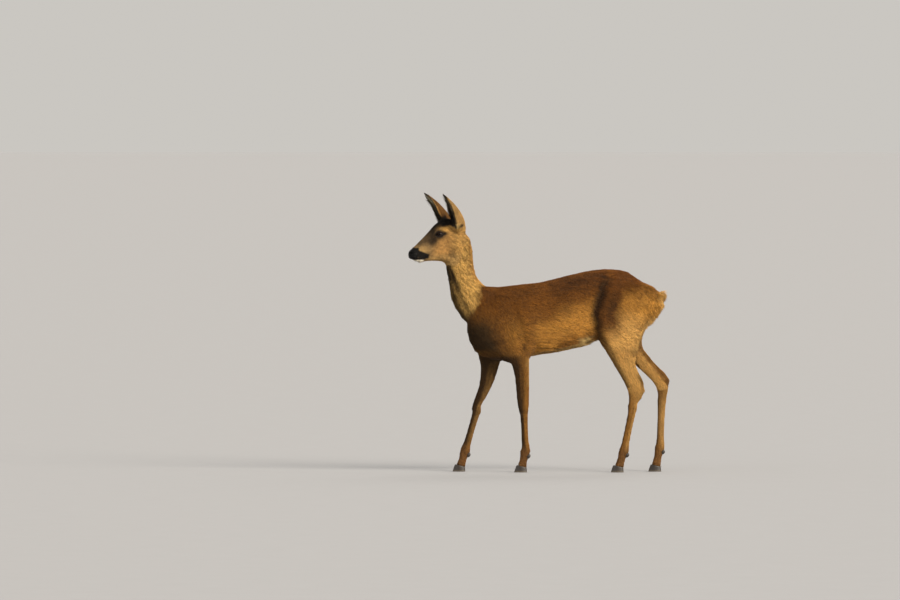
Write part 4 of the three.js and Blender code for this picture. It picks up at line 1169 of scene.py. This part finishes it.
def eyeball(sign, rings=44, columns=56):
    """A ball of rings about the gaze. The cornea's bulge is a hill, 1.1 mm high, on the front."""
    angle = np.linspace(0.002, math.pi - 0.002, rings)[:, None]
    turn = around(columns)[None, :]
    radius = EYE_RADIUS / MM - 0.15 + 1.1 * hill(angle, 0.52)
    forward = radius * np.sin(angle) * np.cos(turn)
    up = radius * np.sin(angle) * np.sin(turn)
    out = radius * np.cos(angle) * np.ones_like(turn)
    return off_eye(forward, up, out, sign), forward, up, out


def iris_colours(forward, up, out):
    """Black in the pupil's slot, brown threads round it, a darker ring, and brown-black beyond."""
    reach = np.hypot(forward, up)
    turn = np.arctan2(up, forward)
    pupil = np.hypot(forward / PUPIL[0], up / PUPIL[1])
    threads = 0.5 + 0.25 * np.sin(turn * 41) + 0.25 * np.sin(turn * 67 + 1)
    iris = linear("#120a05") + threads[:, None] * (linear("#29170a") - linear("#120a05"))
    colour = linear("#040303") + rise(0.95, 1.15, pupil)[:, None] * (iris - linear("#040303"))
    colour = colour + rise(IRIS - 2, IRIS, reach)[:, None] * (linear("#0e0805") - colour)
    return np.where((out > 0)[:, None], colour, linear("#0e0805"))


# A wet cornea over the iris: mirror-smooth, with the IOR of tears and cornea.
wet, tree, shader, where = material_named(
    "Wet_eye", Roughness=0.3, IOR=1.376, Specular_IOR_Level=0.0, Coat_Weight=0.35,
    Coat_Roughness=0.08, Coat_IOR=1.336)
iris = node(tree, "Attribute", {"attribute_name": "iris"}).outputs["Color"]
flecks = node(tree, "TexNoise", None, {"Scale": 700.0}, {"Vector": where}).outputs["Fac"]
shade = node(tree, "MapRange", None, {"To Min": 0.7, "To Max": 1.3}, {"Value": flecks})
flecked = node(tree, "VectorMath", {"operation": "SCALE"}, None,
               {0: iris, "Scale": shade.outputs["Result"]})
feed(tree, shader, Base_Color=flecked.outputs[0])

for side, sign in (("left", 1), ("right", -1)):
    grid, forward, up, out = eyeball(sign)
    mesh = closed_tube("eye", grid)
    values = [np.concatenate([a.ravel(), a[:1].mean(1), a[-1:].mean(1)]) for a in (forward, up, out)]
    add_colour(mesh, "iris", iris_colours(*values))
    mesh.materials.append(wet)
    ball = show("eyeball_" + side, mesh)
    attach(ball, "root")
    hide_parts("eye_" + side)


def lid_edge(count=72):
    """Points round the almond, as forward, up and out: forward = half length x cosine, up = the
    lids' arches, out = on a ball 0.5 mm larger than the eye."""
    turn = around(count)
    forward = ALMOND["half"] * np.cos(turn)
    up = np.where(turn < math.pi, *arches(forward)) + 0.25 * np.sin(turn)
    reach = EYE_RADIUS / MM + 0.5
    out = np.sqrt(reach ** 2 - forward ** 2 - up ** 2)
    return forward, up, out


def rim(sign, columns=10, thick=0.85):
    """Rings round the lids' edge: a bead of this half thickness in mm."""
    forward, up, out = lid_edge()
    path = np.stack([forward, up, out], 1)
    ahead = unit(np.roll(path, -1, 0) - np.roll(path, 1, 0))
    away = unit(path)
    across = np.cross(ahead, away)
    angle = around(columns)[None, :, None]
    ring = path[:, None] + thick * (np.cos(angle) * away[:, None] + np.sin(angle) * across[:, None])
    return off_eye(ring[..., 0], ring[..., 1], ring[..., 2], sign)


def ring_mesh(name, grid):
    """A closed ring from a grid of points that joins up both ways."""
    rows, columns = grid.shape[:2]
    return faced_outwards(name, grid.reshape(-1, 3), ring_quads(rows, columns, rows))


def lashes(sign, rng, count=46):
    """Stiff dark hairs from the upper lid's edge, leaning out, up and back, as thin leaves."""
    forward, up, out = lid_edge(count * 2)
    base = np.stack([forward, up, out], 1)[:count]
    away = unit(base)
    lean = unit(away * 0.9 + np.array([-0.25, 0.35, 0.5]) + 0.12 * rng.normal(size=base.shape))
    root = off_eye(*base.T, sign)
    tip = off_eye(*(base + lean).T, sign)
    way = unit(tip - root)
    normal = unit(np.cross(way, np.roll(root, -1, 0) - root + 1e-6))
    long = rng.uniform(5.5, 8.0, count) * MM * np.sin(np.linspace(0.5, 2.9, count)).clip(0.35, 1)
    return leaves(root, normal, way, long, np.full(count, 0.45 * MM), np.full(count, 0.6 * MM))


# Bare lid skin, black and slightly greasy.
lid_skin, tree, shader, where = material_named("Lid_skin", Roughness=0.4, IOR=1.42)
pores = node(tree, "TexNoise", None, {"Scale": 1600.0}, {"Vector": where}).outputs["Fac"]
ramp = node(tree, "ValToRGB", None, None, {"Fac": pores})
set_stops(ramp, (0, "#0d0a09"), (1, "#241b17"))
sunk = node(tree, "Bump", None, {"Strength": 0.4, "Distance": 0.0002}, {"Height": pores})
feed(tree, shader, Base_Color=ramp.outputs["Color"], Normal=sunk.outputs["Normal"])

for side, sign in (("left", 1), ("right", -1)):
    edge = show("lid_rim_" + side, ring_mesh("lid_rim", rim(sign)))
    edge.data.materials.append(lid_skin)
    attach(edge, "root")
    fringe = show("lashes_" + side, leaf_mesh("lashes", lashes(sign, rng))[0])
    fringe.data.materials.append(lid_skin)
    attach(fringe, "root")

# ---- The hooves and dewclaws ----
# Each foot stands on two horn toes, pointed in front, flat underneath, with fine growth rings.
# Two small horn dewclaws hang behind, above them.
FEET = {                          # fetlock x and z, sole x, and the side
    "fore_left": (-46, 76, -62, -46), "fore_right": (-256, 78, -278, 46),
    "hind_left": (300, 80, 277, -46), "hind_right": (427, 88, 410, 46),
}
HOOF = {"length": 43, "width": 15.6, "split": 8.6, "toe": 27, "heel": 17}
CLAW = {"depth": 7, "half": 4.6, "rise": 8.5, "tilt": 25, "behind": 11, "below": 20, "split": 7.6}


def hoof(sole_x, y, digit, rows=26, columns=48):
    """Rings from the sole to the coronet. Each is an ellipse drawn to a point in front; it shortens towards
    the coronet, and 0.25 mm rings run round the wall. The sole's edge is rounded by 1 mm."""
    share = np.linspace(0, 1, rows)[:, None]
    turn = around(columns)[None, :]
    ahead = np.cos(turn)
    reach = HOOF["length"] / 2 * np.where(ahead > 0, 1.12 - 0.42 * share, 1 - 0.06 * share)
    taper = 1 - 0.42 * ahead.clip(0) ** 1.5
    shrink = 1 - 0.05 * hill(share, 0.035) - 0.12 * rise(0.88, 1.0, share)
    growth = 0.5 + 0.5 * np.sin(share * 55 + 1.5 * ahead)
    shrink = shrink - 0.010 * growth * rise(0.04, 0.1, share)
    x = sole_x - ahead * reach * shrink
    across = np.sin(turn) * HOOF["width"] / 2 * taper * (1 - 0.1 * share) * shrink
    across = np.where(across * digit < 0, across * (1 - 0.10 * hill(share - 0.4, 0.4)), across)
    fall = (HOOF["toe"] - HOOF["heel"]) / HOOF["length"]
    height = (HOOF["toe"] + HOOF["heel"]) / 2 - fall * (x - sole_x)
    z = share * height
    middle = y + digit * (HOOF["split"] - 1.5 * ahead.clip(0))
    return np.stack([x, middle + across, z + 0 * turn], -1) * MM


def dewclaw(fetlock_x, fetlock_z, y, digit, rows=16, columns=20):
    """A blunt little cone: an egg of rings, tilted back, drawn in towards its lower tip."""
    angle = np.linspace(0.03, math.pi - 0.03, rows)[:, None]
    turn = around(columns)[None, :]
    down = (1 - np.cos(angle)) / 2
    ring = np.sin(angle) * (1 - 0.25 * down)
    x = CLAW["depth"] * ring * np.cos(turn)
    across = CLAW["half"] * ring * np.sin(turn)
    z = CLAW["rise"] * np.cos(angle) * np.ones_like(turn)
    tilt = math.radians(CLAW["tilt"])
    x, z = x * math.cos(tilt) + z * math.sin(tilt), z * math.cos(tilt) - x * math.sin(tilt)
    return np.stack([fetlock_x + CLAW["behind"] + x, y + digit * CLAW["split"] + across,
                     fetlock_z - CLAW["below"] + z], -1) * MM


# Horn: grown keratin, near black with brown streaks down it, satin, and scuffed grey near the
# ground. The streaks are 0.8 mm apart and the growth rings 2 mm.
horn, tree, shader, where = material_named("Hoof_horn", Roughness=0.42, IOR=1.54)
down = node(tree, "Mapping", {"vector_type": "TEXTURE"}, {"Scale": (0.0008, 0.0008, 0.02)},
            {"Vector": where})
fibre = node(tree, "TexNoise", None, {"Scale": 1.0, "Detail": 3.0},
             {"Vector": down.outputs["Vector"]}).outputs["Fac"]
ramp = node(tree, "ValToRGB", None, None, {"Fac": fibre})
set_stops(ramp, (0.3, "#15110e"), (0.75, "#3f3429"))
height = node(tree, "SeparateXYZ", None, None, {"Vector": where}).outputs["Z"]
low = node(tree, "MapRange", None, {"From Min": 0.007, "From Max": 0.0, "To Max": 0.5},
           {"Value": height}).outputs["Result"]
scuffed = node(tree, "Mix", {"data_type": "RGBA"}, {7: (*linear("#7a6d5c"), 1)},
               {0: low, 6: ramp.outputs["Color"]})
level = node(tree, "Mapping", {"vector_type": "TEXTURE"}, {"Scale": (0.03, 0.03, 0.0018)},
             {"Vector": where})
rings = node(tree, "TexNoise", None, {"Scale": 1.0}, {"Vector": level.outputs["Vector"]})
both = node(tree, "Math", {"operation": "ADD"}, None, {0: rings.outputs["Fac"], 1: fibre})
ridged = node(tree, "Bump", None, {"Strength": 0.5, "Distance": 0.0004},
              {"Height": both.outputs[0]})
feed(tree, shader, Base_Color=scuffed.outputs[2], Normal=ridged.outputs["Normal"])

for foot, (fetlock_x, fetlock_z, sole_x, y) in FEET.items():
    for which, out in (("inner", -1), ("outer", 1)):
        digit = out * (1 if y > 0 else -1)
        for kind, grid in (("hoof", hoof(sole_x, y, digit)),
                           ("dewclaw", dewclaw(fetlock_x, fetlock_z, y, digit))):
            mesh = closed_tube(kind, grid)
            mesh.materials.append(horn)
            piece = show(f"{foot}_horn_{kind}_{which}", mesh)
            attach(piece, "root")
            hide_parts(f"{foot}_{kind}_{which}")

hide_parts(*[n for n in nodes if n.split("_")[-1] in GROWS and n != "nose"], "ear_left",
            "ear_right")

# ---- Floor, light and camera ----
# A plain pale floor without an edge in view, soft light from the right as from a low wide window,
# and a long lens at the deer's own height.
FLOOR = {"radius": 300, "sides": 96}
turn = around(FLOOR["sides"])
disc = np.stack([FLOOR["radius"] * np.cos(turn), FLOOR["radius"] * np.sin(turn), 0 * turn], 1)
floor_mesh = bpy.data.meshes.new("floor")
floor_mesh.from_pydata(disc.tolist(), [], [tuple(range(FLOOR["sides"]))])
floor = show("studio_floor", floor_mesh)
# Matt painted board: pale warm grey, hardly any gloss, mottled over a hand's width.
board, tree, shader, where = material_named("Matt_painted_board", Roughness=0.9, IOR=1.45)
mottle = node(tree, "TexNoise", None, {"Scale": 9.0}, {"Vector": where}).outputs["Fac"]
ramp = node(tree, "ValToRGB", None, None, {"Fac": mottle})
set_stops(ramp, (0, "#a9a9ab"), (1, "#adadaf"))
feed(tree, shader, Base_Color=ramp.outputs["Color"])
floor.data.materials.append(board)


def sun(name, energy, angle, colour, toward):
    """A wide soft lamp that shines from this direction, without falling off."""
    lamp = bpy.data.lights.new(name, "SUN")
    lamp.energy, lamp.angle, lamp.color = energy, math.radians(angle), colour
    light = show(name, lamp)
    up = unit(np.array(toward, float))
    flat = math.hypot(up[0], up[1])
    light.rotation_euler = (math.atan2(flat, up[2]), 0, math.atan2(up[0], -up[1]))


sun("Window_key", 4.0, 36, (1.0, 0.92, 0.80), (0.80, -0.85, 0.60))
sun("Fill_left", 0.35, 50, (0.90, 0.94, 1.0), (-0.8, -0.7, 0.5))
sun("Back_rim", 0.6, 30, (1.0, 0.95, 0.88), (0.3, 0.9, 0.7))
world = bpy.data.worlds.new("Studio")
bpy.context.scene.world = world
world.use_nodes = True
background = next(n for n in world.node_tree.nodes if n.type == "BACKGROUND")
background.inputs["Color"].default_value = (1.0, 0.965, 0.905, 1)
background.inputs["Strength"].default_value = 0.59
bpy.context.scene.view_settings.view_transform = "Standard"

VIEW_X, VIEW_Z = -0.3105, 0.6035             # what the middle of the picture looks at
VIEW_WIDTH = 900 / 285                       # metres across the picture at the deer
SENSOR = 36                                  # mm
AWAY = 40.0
CAMERA_Z = 1.27
lens = bpy.data.cameras.new("camera")
lens.sensor_width = SENSOR
lens.lens = SENSOR * AWAY / VIEW_WIDTH
lens.clip_start, lens.clip_end = 1, 1000
camera = show("camera", lens)
camera.location = (VIEW_X, -AWAY, CAMERA_Z)
camera.rotation_euler = (math.pi / 2 - math.atan2(CAMERA_Z - VIEW_Z, AWAY), 0, 0)
bpy.context.scene.camera = camera
